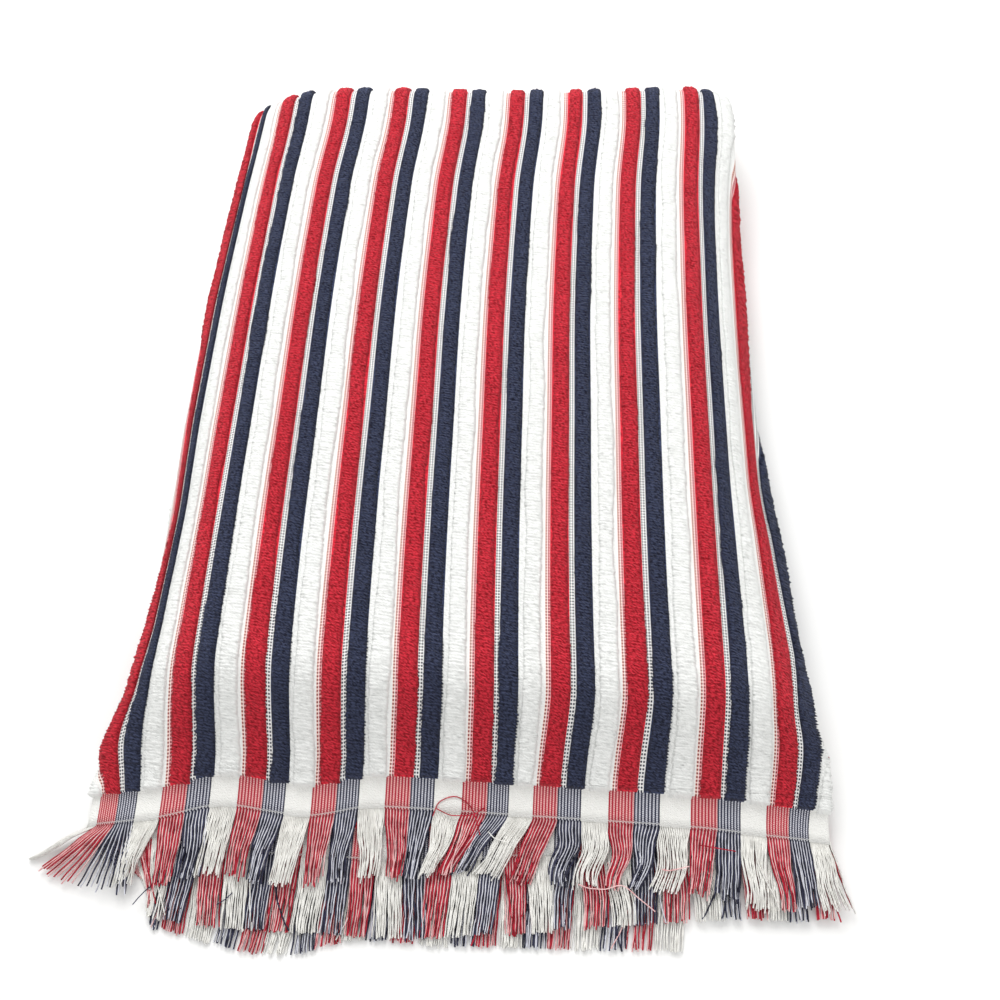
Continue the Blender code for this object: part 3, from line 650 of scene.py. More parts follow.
def makeGroundMaterial():
    # flat woven bands, the colours under the pile, and the hem with its lines of warp
    material, tree, shader = newMaterial("groundWeave", *cotton["ground"])
    across, along = clothUV(tree)
    count = addMath(tree, "DIVIDE", across, towel["repeat"] * mm)
    share = addMath(tree, "FRACT", addMath(tree, "ADD", count, weave["pinkStart"]))
    inBlue = between(tree, share, weave["blueEdge"], weave["navyEdge"])
    row = nearMiddle(tree, along, weave["rowPitch"] * mm, weave["dotTall"])

    # the flat bands: columns of dots on white, the pink ones on two pink lines
    fromPink = addMath(tree, "MULTIPLY", share, towel["repeat"])
    pinkColumn = nearMiddle(tree, fromPink, weave["dotPitch"], weave["dotWide"] + weave["pinkWide"])
    pinkDot = addMath(tree, "MULTIPLY", nearMiddle(tree, fromPink, weave["dotPitch"], weave["dotWide"]), row)
    # the pink line nearer the red pile is deeper pink: pink warp with a painted reflection of the red pile
    nearRed = addMath(tree, "GREATER_THAN", fromPink, 2 * weave["dotPitch"])
    pinkLine = mixColour(tree, nearRed, colours["pinkFar"], colours["pinkNearRedReflection"])
    pastFirst = addMath(tree, "GREATER_THAN", fromPink, weave["dotPitch"])
    pink = mixColour(tree, addMath(tree, "MULTIPLY", pinkColumn, pastFirst), colours["flatWhite"], pinkLine)
    pink = mixColour(tree, addMath(tree, "MULTIPLY", pinkDot, pastFirst), pink, colours["redDot"])
    fromRed = addMath(tree, "MULTIPLY_ADD", share, towel["repeat"],
                      weave["blueShift"] - weave["blueEdge"] * towel["repeat"])
    navyDot = addMath(tree, "MULTIPLY", nearMiddle(tree, fromRed, weave["dotPitch"], weave["dotWide"]), row)
    blue = mixColour(tree, navyDot, colours["flatWhite"], colours["navyDot"])

    # the colours of the pile, with the same flecks of lit loops and painted gap shade as on the ribs
    dashes = stepUp(tree, addDashes(tree, across, along), 0.36, 0.58)
    piles = [mixColour(tree, dashes, colours[deep], colours[light]) for deep, light in
             (("redGapShade", "redPile"), ("navyGapShade", "navyPile"), ("whiteGapShade", "whitePile"))]
    colour = mixColour(tree, between(tree, share, weave["redEdge"], weave["blueEdge"]), pink, piles[0])
    colour = mixColour(tree, inBlue, colour, blue)
    colour = mixColour(tree, between(tree, share, weave["navyEdge"], weave["whiteEdge"]), colour, piles[1])
    colour = mixColour(tree, addMath(tree, "GREATER_THAN", share, weave["whiteEdge"]), colour, piles[2])

    # the hem: zigzag lines of red and of navy warp, and plain white
    half, lean = weave["zigzag"]
    zigzag = addMath(tree, "PINGPONG", along, half * mm)
    bent = addMath(tree, "MULTIPLY_ADD", zigzag, lean, across)
    hemCount = addMath(tree, "DIVIDE", bent, towel["repeat"] * mm)
    hemCount = addMath(tree, "FRACT", addMath(tree, "ADD", hemCount, weave["redStart"]))
    lineCount = addMath(tree, "MULTIPLY", hemCount, towel["repeat"] / weave["hemPitch"])
    line = addMath(tree, "LESS_THAN", addMath(tree, "FRACT", lineCount), weave["hemDark"])
    stagger = addMath(tree, "MULTIPLY", addMath(tree, "FLOOR", lineCount), 0.5)
    crossCount = addMath(tree, "ADD", addMath(tree, "DIVIDE", along, 2 * half * mm), stagger)
    crossing = addMath(tree, "LESS_THAN", addMath(tree, "FRACT", crossCount), weave["crossing"])
    line = addMath(tree, "MAXIMUM", line, addMath(tree, "MULTIPLY", crossing, 0.65))
    redLines = mixColour(tree, line, colours["pinkWarp"], colours["redWarp"])
    navyLines = mixColour(tree, line, colours["greyWarp"], colours["navyWarp"])
    inRed = addMath(tree, "LESS_THAN", lineCount, weave["redLines"])
    hem = mixColour(tree, inRed, colours["whiteWarp"], redLines)
    hem = mixColour(tree, between(tree, lineCount, weave["redLines"], weave["navyLines"]), hem, navyLines)
    stitchLong, stitchLean, stitchPlace, stitchThick = weave["stitch"]
    stitchEdge = addMath(tree, "MULTIPLY_ADD", addMath(tree, "PINGPONG", across, stitchLong * mm),
                         stitchLean, stitchPlace * mm)
    stitch = addMath(tree, "COMPARE", along, stitchEdge, stitchThick * mm)
    hem = mixColour(tree, addMath(tree, "MULTIPLY", stitch, weave["stitchShare"]), hem, colours["stitch"])
    inHem = addMath(tree, "LESS_THAN", along, (towel["hemLength"] + weave["hemOver"]) * mm)
    colour = mixColour(tree, inHem, colour, hem)
    tree.links.new(colour, shader.inputs["Base Color"])

    # relief: the hem's threads in both directions, the sunk dots and the loops of the pile
    warp = addMath(tree, "SINE", addMath(tree, "MULTIPLY", lineCount, 4 * math.pi))
    weft = addMath(tree, "SINE", addMath(tree, "MULTIPLY", along, 2 * math.pi / (weave["weftPitch"] * mm)))
    cells = addMath(tree, "MULTIPLY_ADD", warp, 0.35, addMath(tree, "MULTIPLY", weft, 0.25))
    cells = addMath(tree, "MULTIPLY", cells, inHem)
    inPink = addMath(tree, "LESS_THAN", share, weave["redEdge"])
    sunk = addMath(tree, "MAXIMUM", addMath(tree, "MULTIPLY", navyDot, inBlue),
                   addMath(tree, "MULTIPLY", pinkDot, inPink))
    position = tree.nodes.new("ShaderNodeTexCoord").outputs["Object"]
    height = addMath(tree, "MULTIPLY_ADD", addNoise(tree, position, 1800.0), 0.5, cells)
    height = addMath(tree, "SUBTRACT", addMath(tree, "ADD", height, dashes), sunk)
    addBump(tree, shader, height, weave["relief"] * mm, 0.6)
    return material


def makeYarnMaterial(name, light, deep):
    material, tree, shader = newMaterial(name, *cotton["yarn"])
    position = tree.nodes.new("ShaderNodeTexCoord").outputs["Object"]
    patchScale, low, high = cotton["yarnPatches"]
    patch = stepUp(tree, addNoise(tree, position, patchScale, 3.0), low, high)
    tree.links.new(mixColour(tree, patch, deep, light), shader.inputs["Base Color"])
    twist = tree.nodes.new("ShaderNodeTexWave")
    twistScale, distortion, depth = cotton["yarnTwist"]
    twist.inputs["Scale"].default_value = twistScale
    twist.inputs["Distortion"].default_value = distortion
    tree.links.new(position, twist.inputs["Vector"])
    addBump(tree, shader, twist.outputs["Fac"], depth, 0.8)
    return material


pileMaterials = {
    # each colour of pile, the contrast of its flecks between lit loops and painted gap shade, and the depth
    # of its relief in metres
    name: makePileMaterial(name + "Pile", colours[name + "Pile"], colours[name + "GapShade"], contrast, depth)
    for name, contrast, depth in (("red", 0.90, 0.0013), ("navy", 0.90, 0.0013), ("white", 0.40, 0.0005))
}
groundMaterial = makeGroundMaterial()
yarnMaterials = [
    # name, light colour and deep colour, in the order of yarnKinds
    makeYarnMaterial("redYarn", (0.520, 0.022, 0.048), (0.300, 0.008, 0.020)),
    makeYarnMaterial("pinkYarn", (0.900, 0.600, 0.590), (0.760, 0.360, 0.370)),
    makeYarnMaterial("navyYarn", (0.042, 0.044, 0.086), (0.014, 0.015, 0.030)),
    makeYarnMaterial("greyYarn", (0.760, 0.770, 0.830), (0.540, 0.550, 0.620)),
    makeYarnMaterial("whiteYarn", (0.900, 0.890, 0.850), (0.760, 0.750, 0.710)),
]
print("materials made")

# The cloth: one closed sheet with its flat bands and hems.
groundCloth = {
    "centreSteps": 81,
    "rightSteps": 27,
    "leftSteps": 25,
    "foldSteps": 9,
    "hemRows": (4.0, 8.0),   # mm from the cut end
    "toeRows": 10,           # rows from the hem to where the droop's rows start
    "droopFrom": -139.0,
    "droopStep": 4.0,
    "topRows": 43,
    "pathRows": (21, 21, 11, 21, 7, 19),   # rows of the six stretches below
    "sideRib": 0.9,          # mm, how far the ribs stand out of the side folds of the lower levels
    "sideStart": (40.0, 10.0),   # mm past the far fold where they start, and the length they grow over
}


def groundPlaces():
    return np.concatenate((
        np.linspace(0, 1, groundCloth["rightSteps"])[:-1],
        np.linspace(1, 2, groundCloth["foldSteps"])[:-1],
        np.linspace(2, 3, groundCloth["centreSteps"])[:-1],
        np.linspace(3, 4, groundCloth["foldSteps"])[:-1],
        np.linspace(4, 5, groundCloth["leftSteps"]),
    ))


def groundRows(places):
    hem = hemY(places)
    pileStart = hem + towel["hemLength"] + towel["pileStep"]
    nearEnd, further = groundCloth["hemRows"]
    rows = [hem, hem + nearEnd, hem + further, hem + towel["hemLength"], pileStart]
    first = groundCloth["droopFrom"]
    for share in np.linspace(0, 1, groundCloth["toeRows"])[1:-1]:
        rows.append(pileStart + (first - pileStart) * share)
    top = np.concatenate((np.arange(first, towel["droop"], groundCloth["droopStep"]),
                          np.linspace(towel["droop"], towel["farFold"], groundCloth["topRows"])))
    stops = (*stretches, pathLength - towel["hemLength"] - towel["pileStep"])
    below = [np.linspace(stops[k], stops[k + 1], steps)[1:]
             for k, steps in enumerate(groundCloth["pathRows"])]
    below.append(pathLength - np.array((towel["hemLength"], further, nearEnd, 0.0)))
    for along in np.concatenate((top, towel["farFold"] + np.concatenate(below))):
        rows.append(np.full(len(places), along))
    return np.array(rows)


def ribHeight(stripe):
    # 1 on a rib of pile and 0 on the flat bands
    share = np.mod(stripe + 0.5, 1.0) - 0.5
    share = np.where(share < -0.2, share + 1, share)
    total = np.zeros_like(share)
    for start, end in stripes.values():
        total = np.maximum(total, easeIn((share - start) / 0.03) * easeIn((end - share) / 0.03))
    return total


def makeCloth():
    places = groundPlaces()
    along = groundRows(places)
    grid = np.broadcast_to(places, along.shape)
    stripY = stripYOf(along)
    stripe = stripeAt(grid, stripY)
    sideStart, sideRamp = groundCloth["sideStart"]
    below = easeIn((along - towel["farFold"] - sideStart) / sideRamp)
    sideways = np.abs(outward(grid)[0])
    lift = groundCloth["sideRib"] * ribHeight(stripe) * sideways * below
    face, back = clothPoint(grid, along, 1, lift), clothPoint(grid, along, -1)
    rows, columns = along.shape
    faces = [gridFaces(rows, columns), gridFaces(rows, columns, rows * columns)[:, ::-1]]
    index = np.arange(rows * columns).reshape(rows, columns)
    for edge in (index[0], index[-1], index[:, 0], index[:, -1]):
        under = edge + rows * columns
        faces.append(np.stack((edge[:-1], edge[1:], under[1:], under[:-1]), axis=-1))
    fromEnd = np.minimum(along - hemY(grid), towel["farFold"] + pathLength - along)
    uv = np.stack((stripe * towel["repeat"], fromEnd), axis=-1) * mm
    piece = linkPiece("towelCloth", np.concatenate((face.reshape(-1, 3), back.reshape(-1, 3))),
                      np.concatenate(faces), [groundMaterial], uv=np.concatenate((uv, uv)))
    work = bmesh.new()
    work.from_mesh(piece.data)
    bmesh.ops.recalc_face_normals(work, faces=work.faces)
    work.to_mesh(piece.data)
    work.free()
    return piece


towelCloth = makeCloth()
print("cloth made:", len(towelCloth.data.polygons), "faces")

# The pile: every rib is a strip of loop rows on the face of the cloth.
pile = {
    "height": 1.75,          # mm
    "rowPitch": 1.34,        # mm between rows of loops
    "samplesPerRow": 3,
    "across": (0.0, 0.035, 0.11, 0.23, 0.38, 0.54, 0.70, 0.84, 0.945, 1.0),
    "profile": (-0.15, 0.62, 0.86, 0.96, 1.0, 1.0, 0.97, 0.88, 0.64, -0.15),
    "rowDepth": 0.26,        # share of the height between a row and the dip before it
    "lumps": 0.20,           # mm
    "slant": 0.55,           # rows that a row climbs across a rib
    "drift": 0.30,           # rows, how unevenly the rows lie
    "ragged": 0.24,          # mm, how unevenly the rows end at a rib's sides
    "wander": 0.35,          # mm, how far a rib's sides wander
    "spread": (0.05, -70.0), # share of its width that a rib spreads near the hem, and y up to there
    "drawn": (0.09, -110.0), # share that it draws in further back, and y from there
    "spreadRamp": 60.0,
    "hemGap": 0.4,           # mm between the hem and the first row
    "foot": -0.15,           # mm, where the first row starts
    "plush": (0.06, 40),     # how unevenly high a rib is, and over how many samples
    "mottle": 0.12,          # how unevenly light the loops are
    "sink": (95.0, 50.0),    # degrees round the far fold where the ribs start to sink, and the ramp
    "farEnd": 150.0,         # degrees round the far fold
    "lengthFrom": -180.0,    # y from which the top level's length is measured, in short steps
    "lengthStep": 0.25,
    "seed": 11,
}
pileEdges = {
    # mm, how far each row stands out of the rib's left and right side, and the share of painted shade in the
    # dips between rows
    "red": (0.22, 0.26, 0.42),
    "navy": (0.24, 0.62, 0.60),
    "white": (0.15, 0.15, 0.28),
}


def topLengths():
    # the top level's along values at even steps of real length
    end = towel["farFold"] + farArc * pile["farEnd"] / 180
    along = np.arange(pile["lengthFrom"], end, pile["lengthStep"])
    points = clothPoint(np.full(along.shape, 2.5), along, 1)
    steps = np.linalg.norm(np.diff(points, axis=0), axis=1) / mm
    return along, np.concatenate(((0.0,), np.cumsum(steps)))


profileAlong, profileLength = topLengths()


def ribRows(start):
    first = np.interp(start, profileAlong, profileLength)
    step = pile["rowPitch"] / pile["samplesPerRow"]
    lengths = np.arange(first, profileLength[-1], step)
    return np.interp(lengths, profileLength, profileAlong), lengths - first


def softNoise(random, count, gap):
    # a smooth random line, one value each gap samples
    knots = random.normal(size=count // gap + 3)
    return np.interp(np.arange(count) / gap, np.arange(len(knots)), knots)


def makeRib(random, colour, start, end, overhang):
    middle = placeOf(np.array((start + end) / 2), np.array(-150.0))
    hemEnd = float(hemY(middle)) + towel["hemLength"] + pile["hemGap"]
    along, lengths = ribRows(hemEnd - overhang)
    count, across, profile = len(along), np.array(pile["across"]), np.array(pile["profile"])
    teethLeft, teethRight, gapShadeShare = pileEdges[colour]
    spread, spreadY = pile["spread"]
    drawn, drawnY = pile["drawn"]
    spread = spread * easeIn((spreadY - along) / pile["spreadRamp"])
    spread = (spread - drawn * easeIn((along - drawnY) / pile["spreadRamp"])) * (end - start)
    sides = []
    for edge, out, teeth, slant in ((start, -1, teethLeft, 0.0), (end, 1, teethRight, pile["slant"])):
        wander = pile["wander"] * (softNoise(random, count, 60) + softNoise(random, count, 21) / 2)
        row = np.arange(count) // pile["samplesPerRow"]
        ragged = random.uniform(-1, 1, size=row[-1] + 1)[row] * pile["ragged"]
        comb = out * teeth * np.cos(2 * math.pi * (lengths / pile["rowPitch"] + slant))
        sides.append(edge + out * spread / 2 + (wander + ragged + comb) / towel["repeat"])
    stripe = sides[0][:, None] + (sides[1] - sides[0])[:, None] * across[None, :]
    stripY = stripYOf(along)[:, None] + 0 * stripe
    place = placeOf(stripe, stripY)
    phase = lengths[:, None] / pile["rowPitch"] + pile["slant"] * across[None, :]
    for step in (9, 4):
        left, right = (softNoise(random, count, step)[:, None] for side in range(2))
        phase = phase + pile["drift"] / 2 * (left * (1 - across) + right * across)
    rowShape = 1 - pile["rowDepth"] * (0.5 - 0.5 * np.cos(2 * math.pi * phase))
    lumps = random.normal(size=(count, len(across))) * pile["lumps"]
    uneven, gap = pile["plush"]
    plush = 1 + uneven * softNoise(random, count, gap)[:, None]
    lift = pile["height"] * profile[None, :] * rowShape * plush
    lift = lift + lumps * (profile[None, :] > 0)
    angle = np.degrees(np.maximum(along - towel["farFold"], 0) / farRadius)[:, None]
    sink, sinkRamp = pile["sink"]
    lift = lift * (1 - easeIn((angle - sink) / sinkRamp))
    # the ribs end just under the side folds
    lift = lift * clampTo(1 + outward(place)[1]) * easeIn(np.minimum(place - 0.9, 4.1 - place) / 0.1)
    lift[0] = pile["foot"]
    points = clothPoint(place, along[:, None] + 0 * stripe, 1, lift)
    # painted shade: darker in the dips between rows and at the rib's sides, plus random mottle of the loops
    shade = 1 - gapShadeShare * np.sin(math.pi * phase) ** 2 + pile["mottle"] * random.normal(size=phase.shape)
    shade = shade * profile.clip(0.5, 1)[None, :]
    uv = np.stack((stripe * towel["repeat"], lengths[:, None] + 0 * stripe), axis=-1) * mm
    seen = (place > 0.97) & (place < 4.03)
    faces = gridFaces(count, len(across))
    faces = faces[seen.ravel()[faces].any(axis=1)]
    return points.reshape(-1, 3), faces, uv.reshape(-1, 2), clampTo(shade).ravel()


def makePile(name, colour, first, last, overhang):
    random = np.random.default_rng(pile["seed"] + len(name))
    parts, total = [], 0
    for rib in range(first, last + 1):
        start, end = stripes[colour]
        points, faces, uv, shade = makeRib(random, colour, rib + start, rib + end,
                                           overhang + random.uniform(-0.5, 0.5))
        parts.append((points, faces + total, uv, shade))
        total += len(points)
    points, faces, uv, shade = (np.concatenate([part[k] for part in parts]) for k in range(4))
    piece = linkPiece(name, points, faces[:, ::-1], [pileMaterials[colour]], uv=uv, shade=shade)
    print(name, "made:", len(faces), "faces")
    return piece


redPile = makePile("redPile", "red", 1, 10, 0.0)
navyPile = makePile("navyPile", "navy", 1, 10, 0.2)
whitePile = makePile("whitePile", "white", 0, 10, 0.9)

# The fringe: loose yarns that go on from the hem's warp.
yarn = {
    "perRepeat": 48.37,      # two yarns to each dark line of the hem
    "points": 12,
    "sides": 3,
    "thick": 0.50,           # mm, half the thickness of a yarn
    "fine": 0.45,            # the same for the pale yarns between
    "length": 28.5,
    "centreLength": 25.5,
    "underLength": 24.0,
    "underFall": (2.0, 0.6), # mm past the hidden end where the yarns start to fall, and how steeply
    "taper": 0.75,           # share of its thickness that a yarn has left at its tip
    "root": 1.2,             # mm of yarn that lies in the hem
    "group": (0.0, 0.331, 0.641, 1.0),   # the red, navy and white yarns of one repeat
    "gather": (0.10, 0.40),  # how far a group draws together towards its tips
    "pairs": 0.55,           # how often a group moves with the one before it
    "follow": 0.75,          # how much of its way it then takes on
    "lean": 0.15,
    "bend": 1.1,             # mm, how far a group swings to and fro
    "swings": 1.76,          # half turns of that swing
    "strays": 0.035,         # share of the yarns that leave their group
    "ownLean": (0.018, 0.17),    # lean of each yarn by itself, and of a stray
    "ripple": (0.12, 0.7),   # mm, and radians for each mm
    "uneven": 0.04,          # share of the length
    "calm": 0.35,            # share of all this in the two layers below
    "rest": 0.40,            # mm over what the yarns lie on
    "crown": (0.9, 6.0),     # mm, how high a group's middle lies, and half its width
    "loose": (0.55, 0.6),    # mm, how unevenly high the yarns lie, and how much higher a stray does
    "sag": (6.0, 0.2),       # mm to the side from which a yarn sinks, and how steeply
    "tuck": 0.42,            # how much shorter the two layers below are at the left corner
    "tuckLean": 0.65,
    "tuckX": (-120.0, 20.0), # x of the tuck's start, and its ramp
    "tuckLeanX": (-116.0, 24.0),
    "seed": 5,
}
topLeans = (
    # x, how far the centre's fringe leans to the side for each mm of its length
    (-150.0, -1.50),
    (-145.0, -1.45),
    (-141.0, -0.90),
    (-137.0, -0.38),
    (-133.0, -0.14),
    (-111.7, -0.12),
    (-99.9, -0.04),
    (-87.7, 0.02),
    (-73.8, -0.11),
    (-56.4, -0.03),
    (-30.2, -0.03),
    (-15.8, -0.17),
    (4.8, -0.40),
    (15.0, -0.50),
    (29.4, -0.36),
    (41.7, -0.20),
    (67.4, -0.07),
    (78.4, -0.30),
    (90.6, -0.14),
    (100.7, -0.30),
    (114.8, -0.10),
    (142.5, 0.03),
    (150.1, 0.22),
)


def yarnKinds(stripe):
    # which of the five yarns hangs at a count of the stripes, in step with the hem's lines
    share = np.mod(stripe + weave["redStart"], 1.0)
    dark = np.mod(share * towel["repeat"] / weave["hemPitch"], 1.0) < weave["hemDark"]
    kinds = np.full(stripe.shape, 4)
    kinds = np.where(share < yarn["group"][1], np.where(dark, 0, 1), kinds)
    return np.where((share >= yarn["group"][1]) & (share < yarn["group"][2]), np.where(dark, 2, 3), kinds)


def tubes(paths, radii, sides):
    # paths[yarn, point, xyz] in metres and radii[yarn, point]
    lean = np.gradient(paths, axis=1)
    lean /= np.linalg.norm(lean, axis=-1, keepdims=True) + 1e-12
    across = np.cross(lean, np.array((0.0, 0.0, 1.0)))
    across /= np.linalg.norm(across, axis=-1, keepdims=True) + 1e-9
    up = np.cross(across, lean)
    turn = np.arange(sides) * 2 * math.pi / sides + math.pi / 2
    cosine, sine = (wave(turn)[None, None, :, None] for wave in (np.cos, np.sin))
    ring = across[:, :, None] * cosine + up[:, :, None] * sine
    points = paths[:, :, None] + ring * radii[:, :, None, None]
    count, steps = paths.shape[:2]
    index = np.arange(count * steps * sides).reshape(count, steps, sides)
    around = np.roll(index, -1, axis=2)
    faces = np.stack((index[:, :-1], around[:, :-1], around[:, 1:], index[:, 1:]), axis=-1)
    return points.reshape(-1, 3), faces.reshape(-1, 4), np.repeat(np.arange(count), (steps - 1) * sides)


def onCentre(place):
    # the centre panel with the upper half of its side folds
    return (place > 1.3) & (place < 3.7)


def yarnPaths(random, endPoint, lengthOf, leanOf):
    gap = 1 / yarn["perRepeat"]
    stripe = np.arange(towel["leftSelvedge"] + gap, towel["rightSelvedge"], gap)
    count = len(stripe)
    place = placeOf(stripe, np.full(count, towel["fringeY"]))
    repeat = np.floor(stripe + weave["redStart"])
    share = stripe + weave["redStart"] - repeat
    third = np.searchsorted(yarn["group"], share, side="right") - 1
    group = (repeat * 3 + third).astype(int)
    group = group - group.min()
    many = group.max() + 1
    middle = np.array([stripe[group == k].mean() for k in range(many)])[group]
    joined = random.uniform(size=many) < yarn["pairs"]
    joined[0] = False

    def perGroup(values):
        # a joined group takes on most of the way of the one before it
        values = values.copy()
        for k in np.flatnonzero(joined):
            values[k] = yarn["follow"] * values[k - 1] + (1 - yarn["follow"]) * values[k]
        return values[group][:, None]

    share = np.linspace(0, 1, yarn["points"])[None, :]
    calm = np.where(onCentre(place), 1.0, yarn["calm"])[:, None]
    lean = perGroup(random.normal(size=many) * yarn["lean"]) * calm
    bend = perGroup(random.normal(size=many) * yarn["bend"]) * calm
    turn = perGroup(random.uniform(0, 2 * math.pi, size=many))
    gather = random.uniform(*yarn["gather"], size=many)[group][:, None] * calm
    longer = perGroup(random.normal(size=many) * yarn["uneven"])[:, 0]
    longer = longer + random.normal(size=count) * yarn["uneven"]
    full = lengthOf(place) * (1 + longer * calm[:, 0])
    slope = leanOf(place)[:, None] + lean
    full = full[:, None] / np.sqrt(1 + slope ** 2)
    distance = -yarn["root"] + (full + yarn["root"]) * share
    past = np.maximum(distance, 0)
    reach = past / full
    across = ((stripe - middle) * towel["repeat"])[:, None]
    across = across * np.sign((place - 1.5) * (3.5 - place))[:, None]
    stray = random.uniform(size=count) < yarn["strays"]
    calmLean, strayLean = yarn["ownLean"]
    own = random.normal(size=count) * np.where(stray, strayLean, calmLean)
    side = slope * past - across * gather * easeIn(reach * 1.05)
    side = side + bend * np.sin(yarn["swings"] * math.pi * reach + turn) * easeIn(reach * 1.6)
    side = side + own[:, None] * past * reach
    rippleWide, rippleTurn = yarn["ripple"]
    ripple = np.sin(past * rippleTurn + random.uniform(0, 6, size=count)[:, None])
    side = side + rippleWide * ripple * easeIn(past / 5)
    base = endPoint(place[:, None] + 0 * share, distance)
    sagFrom, sagSlope = yarn["sag"]
    drop = np.maximum(np.abs(side) - sagFrom, 0) * sagSlope
    crownHigh, crownWide = yarn["crown"]
    crown = crownHigh * (1 - np.minimum(np.abs(across) / crownWide, 1) ** 2) * easeIn(reach * 1.3)
    looseHigh, strayHigh = yarn["loose"]
    loose = random.uniform(0, looseHigh, size=count) + np.where(stray, strayHigh, 0.0)
    height = yarn["rest"] + crown + loose[:, None] * easeIn(past / 8)
    z = np.maximum(base[..., 2] + (height - drop) * mm, (yarn["thick"] + 0.02) * mm)
    return np.stack((base[..., 0] + side * mm, base[..., 1], z), axis=-1), yarnKinds(stripe)


def topEnd(place, distance):
    # lies on the underside of the top level's layers, which runs on past the hem
    return clothPoint(place, hemY(place) - distance, np.where(outward(place)[1] > 0, -1, 1))


def underEnd(place, distance):
    # past the hidden cut end the yarns fall towards the floor
    point = clothPoint(place, towel["farFold"] + pathLength + distance, 1)
    x, y = point[..., 0] / mm + towel["origin"][0], point[..., 1] / mm + towel["origin"][1]
    fallFrom, fallSlope = yarn["underFall"]
    fall = squash(x, y) * fallSlope * np.maximum(distance - fallFrom, 0)
    return point - np.stack((0 * fall, 0 * fall, fall * mm), axis=-1)


def fringeX(place):
    return section(place, np.full(place.shape, towel["fringeY"]), 0.0)[0]


def topLength(place):
    # the two lower layers are tucked in at the left corner
    start, ramp = yarn["tuckX"]
    tucked = 1 - yarn["tuck"] * easeIn((start - fringeX(place)) / ramp)
    return np.where(onCentre(place), yarn["centreLength"], yarn["length"] * tucked)


def topLean(place):
    x = fringeX(place)
    start, ramp = yarn["tuckLeanX"]
    return np.where(onCentre(place), readTable(topLeans, x, 1), yarn["tuckLean"] * easeIn((start - x) / ramp))


def makeFringe(name, node, endPoint, lengthOf, leanOf, seed):
    random = np.random.default_rng(seed)
    paths, kinds = yarnPaths(random, endPoint, lengthOf, leanOf)
    radius = np.where((kinds == 1) | (kinds == 3), yarn["fine"], yarn["thick"]) * mm
    taper = np.linspace(1.0, yarn["taper"], yarn["points"])
    points, faces, owner = tubes(paths, radius[:, None] * taper[None, :], yarn["sides"])
    piece = linkPiece(name, points, faces, yarnMaterials, faceSlots=kinds[owner])
    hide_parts(node)
    print(name, "made:", len(kinds), "yarns")
    return piece


fringeTop = makeFringe("fringeTopYarns", "fringe_top", topEnd, topLength, topLean, yarn["seed"])
fringeUnder = makeFringe("fringeUnderYarns", "fringe_under", underEnd,
                         lambda place: np.full(place.shape, yarn["underLength"]),
                         lambda place: np.zeros(place.shape), yarn["seed"] + 1)

looseThreads = {
    "thick": 0.22,           # mm, half the thickness of a thread
    "sides": 5,
    "points": 22,
    "onHem": 1.45,           # mm above the underside of the layer
    "onFringe": 2.3,
    "stepLength": 3.0,       # mm over which a thread steps from the hem down to the fringe
    "paths": (
        # kind of yarn, layer it lies on, x and y of the points it passes
        (0, 1, ((-10.2, -160.7), (-8.2, -155.2), (-1.7, -152.5), (3.9, -155.0),
                (6.5, -158.6), (9.4, -167.1))),
        (0, 1, ((-9.0, -157.5), (-2.0, -160.0), (5.0, -159.6), (10.5, -156.4))),
        (1, 2, ((61.3, -174.9), (62.5, -177.1), (65.3, -177.8), (68.1, -176.5))),
        (1, 1, ((49.5, -184.1), (54.3, -185.4), (59.4, -185.5), (66.2, -183.7),
                (74.1, -188.6), (80.0, -192.8))),
        (2, 2, ((-115.7, -188.6), (-121.4, -192.8), (-124.8, -196.6), (-127.0, -199.7))),
        (2, 2, ((-88.0, -193.4), (-90.8, -196.2), (-93.7, -198.2))),
        (4, 1, ((12.6, -165.6), (15.5, -168.1), (20.6, -169.4))),
        (1, 1, ((82.9, -176.9), (85.3, -177.2), (88.1, -176.7), (93.7, -175.2))),
        (0, 1, ((98.5, -166.9), (103.3, -167.5), (112.5, -168.6))),
    ),
}


def makeThreads():
    # a few ends that lie across the hem and the fringe
    paths, kinds = [], []
    for kind, level, points in looseThreads["paths"]:
        points = np.array(points)
        steps = np.concatenate(((0.0,), np.cumsum(np.linalg.norm(np.diff(points, axis=0), axis=1))))
        even = np.linspace(0, steps[-1], looseThreads["points"])
        x, y = (readTable(np.stack((steps, points[:, k]), axis=1), even, 1) for k in range(2))
        pastEnd = (y - readTable(centreHem, x, 1)) / looseThreads["stepLength"]
        onHem = easeIn(pastEnd + 0.5) * (level == 1)
        z = readTable(droop, y, level)
        z = z + looseThreads["onFringe"] * (1 - onHem) + looseThreads["onHem"] * onHem
        paths.append(np.stack((x - towel["origin"][0], y - towel["origin"][1], z), axis=-1) * mm)
        kinds.append(kind)
    paths, kinds = np.array(paths), np.array(kinds)
    radii = np.full(paths.shape[:2], looseThreads["thick"] * mm)
    points, faces, owner = tubes(paths, radii, looseThreads["sides"])
    return linkPiece("looseThreadEnds", points, faces, yarnMaterials, faceSlots=kinds[owner])


looseEnds = makeThreads()
print("loose ends made")

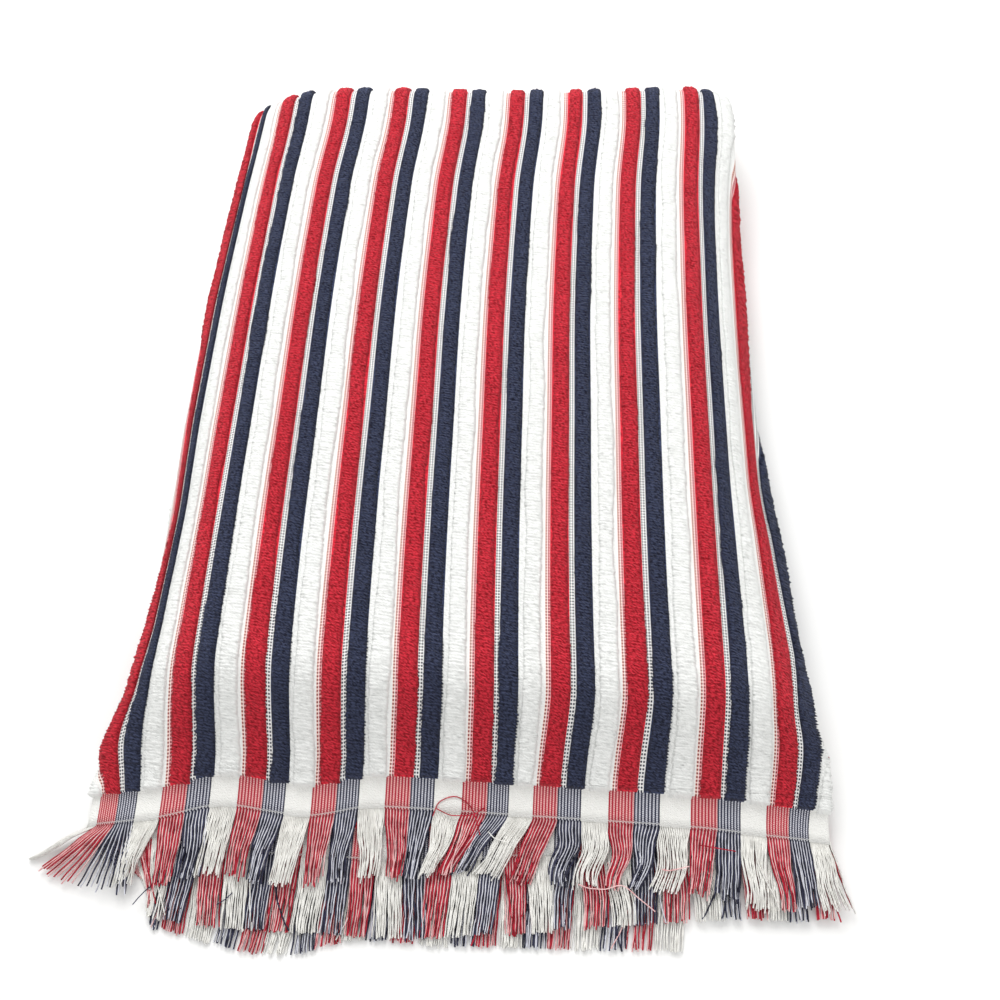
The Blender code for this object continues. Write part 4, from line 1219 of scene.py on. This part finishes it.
# Floor, light and camera, in metres and watts.
studio = {
    "floor": (0.88, 0.88, 0.87),
    "floorReach": 3.0,
    "world": 0.80,
    "lightSize": 0.9,
    "keyPower": 15.0,
    "keyPlace": (-0.30, 0.90, 0.92),
    "fillPower": 1.5,
    "fillPlace": (0.6, -0.5, 0.9),
}
bpy.context.scene.view_settings.view_transform = "Standard"
floorMesh = bpy.data.meshes.new("floor")
reach = studio["floorReach"]
floorMesh.from_pydata([(-reach, -reach, 0), (reach, -reach, 0), (reach, reach, 0), (-reach, reach, 0)],
                      [], [(0, 1, 2, 3)])
floor = bpy.data.objects.new("floor", floorMesh)
bpy.context.scene.collection.objects.link(floor)
floorMaterial, _, floorShader = newMaterial("paleFloor", *cotton["floor"])
floorShader.inputs["Base Color"].default_value = (*studio["floor"], 1.0)
floorMesh.materials.append(floorMaterial)

world = bpy.data.worlds.new("softRoom")
world.use_nodes = True
world.node_tree.nodes["Background"].inputs["Color"].default_value = (1, 1, 1, 1)
world.node_tree.nodes["Background"].inputs["Strength"].default_value = studio["world"]
bpy.context.scene.world = world


def addAreaLight(name, place, power):
    data = bpy.data.lights.new(name, "AREA")
    data.energy = power
    data.size = studio["lightSize"]
    light = bpy.data.objects.new(name, data)
    light.location = place
    bpy.context.scene.collection.objects.link(light)
    # turned to the towel's middle
    tilt = math.acos(place[2] / np.linalg.norm(place))
    light.rotation_euler = (tilt, 0, math.atan2(-place[1], -place[0]) - math.pi / 2)


addAreaLight("keyLight", studio["keyPlace"], studio["keyPower"])
addAreaLight("fillLight", studio["fillPlace"], studio["fillPower"])

camera = {
    "place": (0.02432, -0.25339, 0.466),
    "down": 63.2,            # degrees below level
    "turn": 2.7,
    "focal": 39.6,
}
cameraData = bpy.data.cameras.new("camera")
cameraData.lens = camera["focal"]
cameraData.sensor_width = 36.0
cameraData.sensor_fit = "HORIZONTAL"
cameraObject = bpy.data.objects.new("camera", cameraData)
cameraObject.location = camera["place"]
cameraObject.rotation_euler = (math.radians(90 - camera["down"]), 0, math.radians(camera["turn"]))
bpy.context.scene.collection.objects.link(cameraObject)
bpy.context.scene.camera = cameraObject
print("studio ready")

# Hide the frame's towel and hang every piece on the root body.
pilePieces = [redPile, navyPile, whitePile]
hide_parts("towel")
for piece in (towelCloth, *pilePieces, fringeTop, fringeUnder, looseEnds):
    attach(piece, "root")
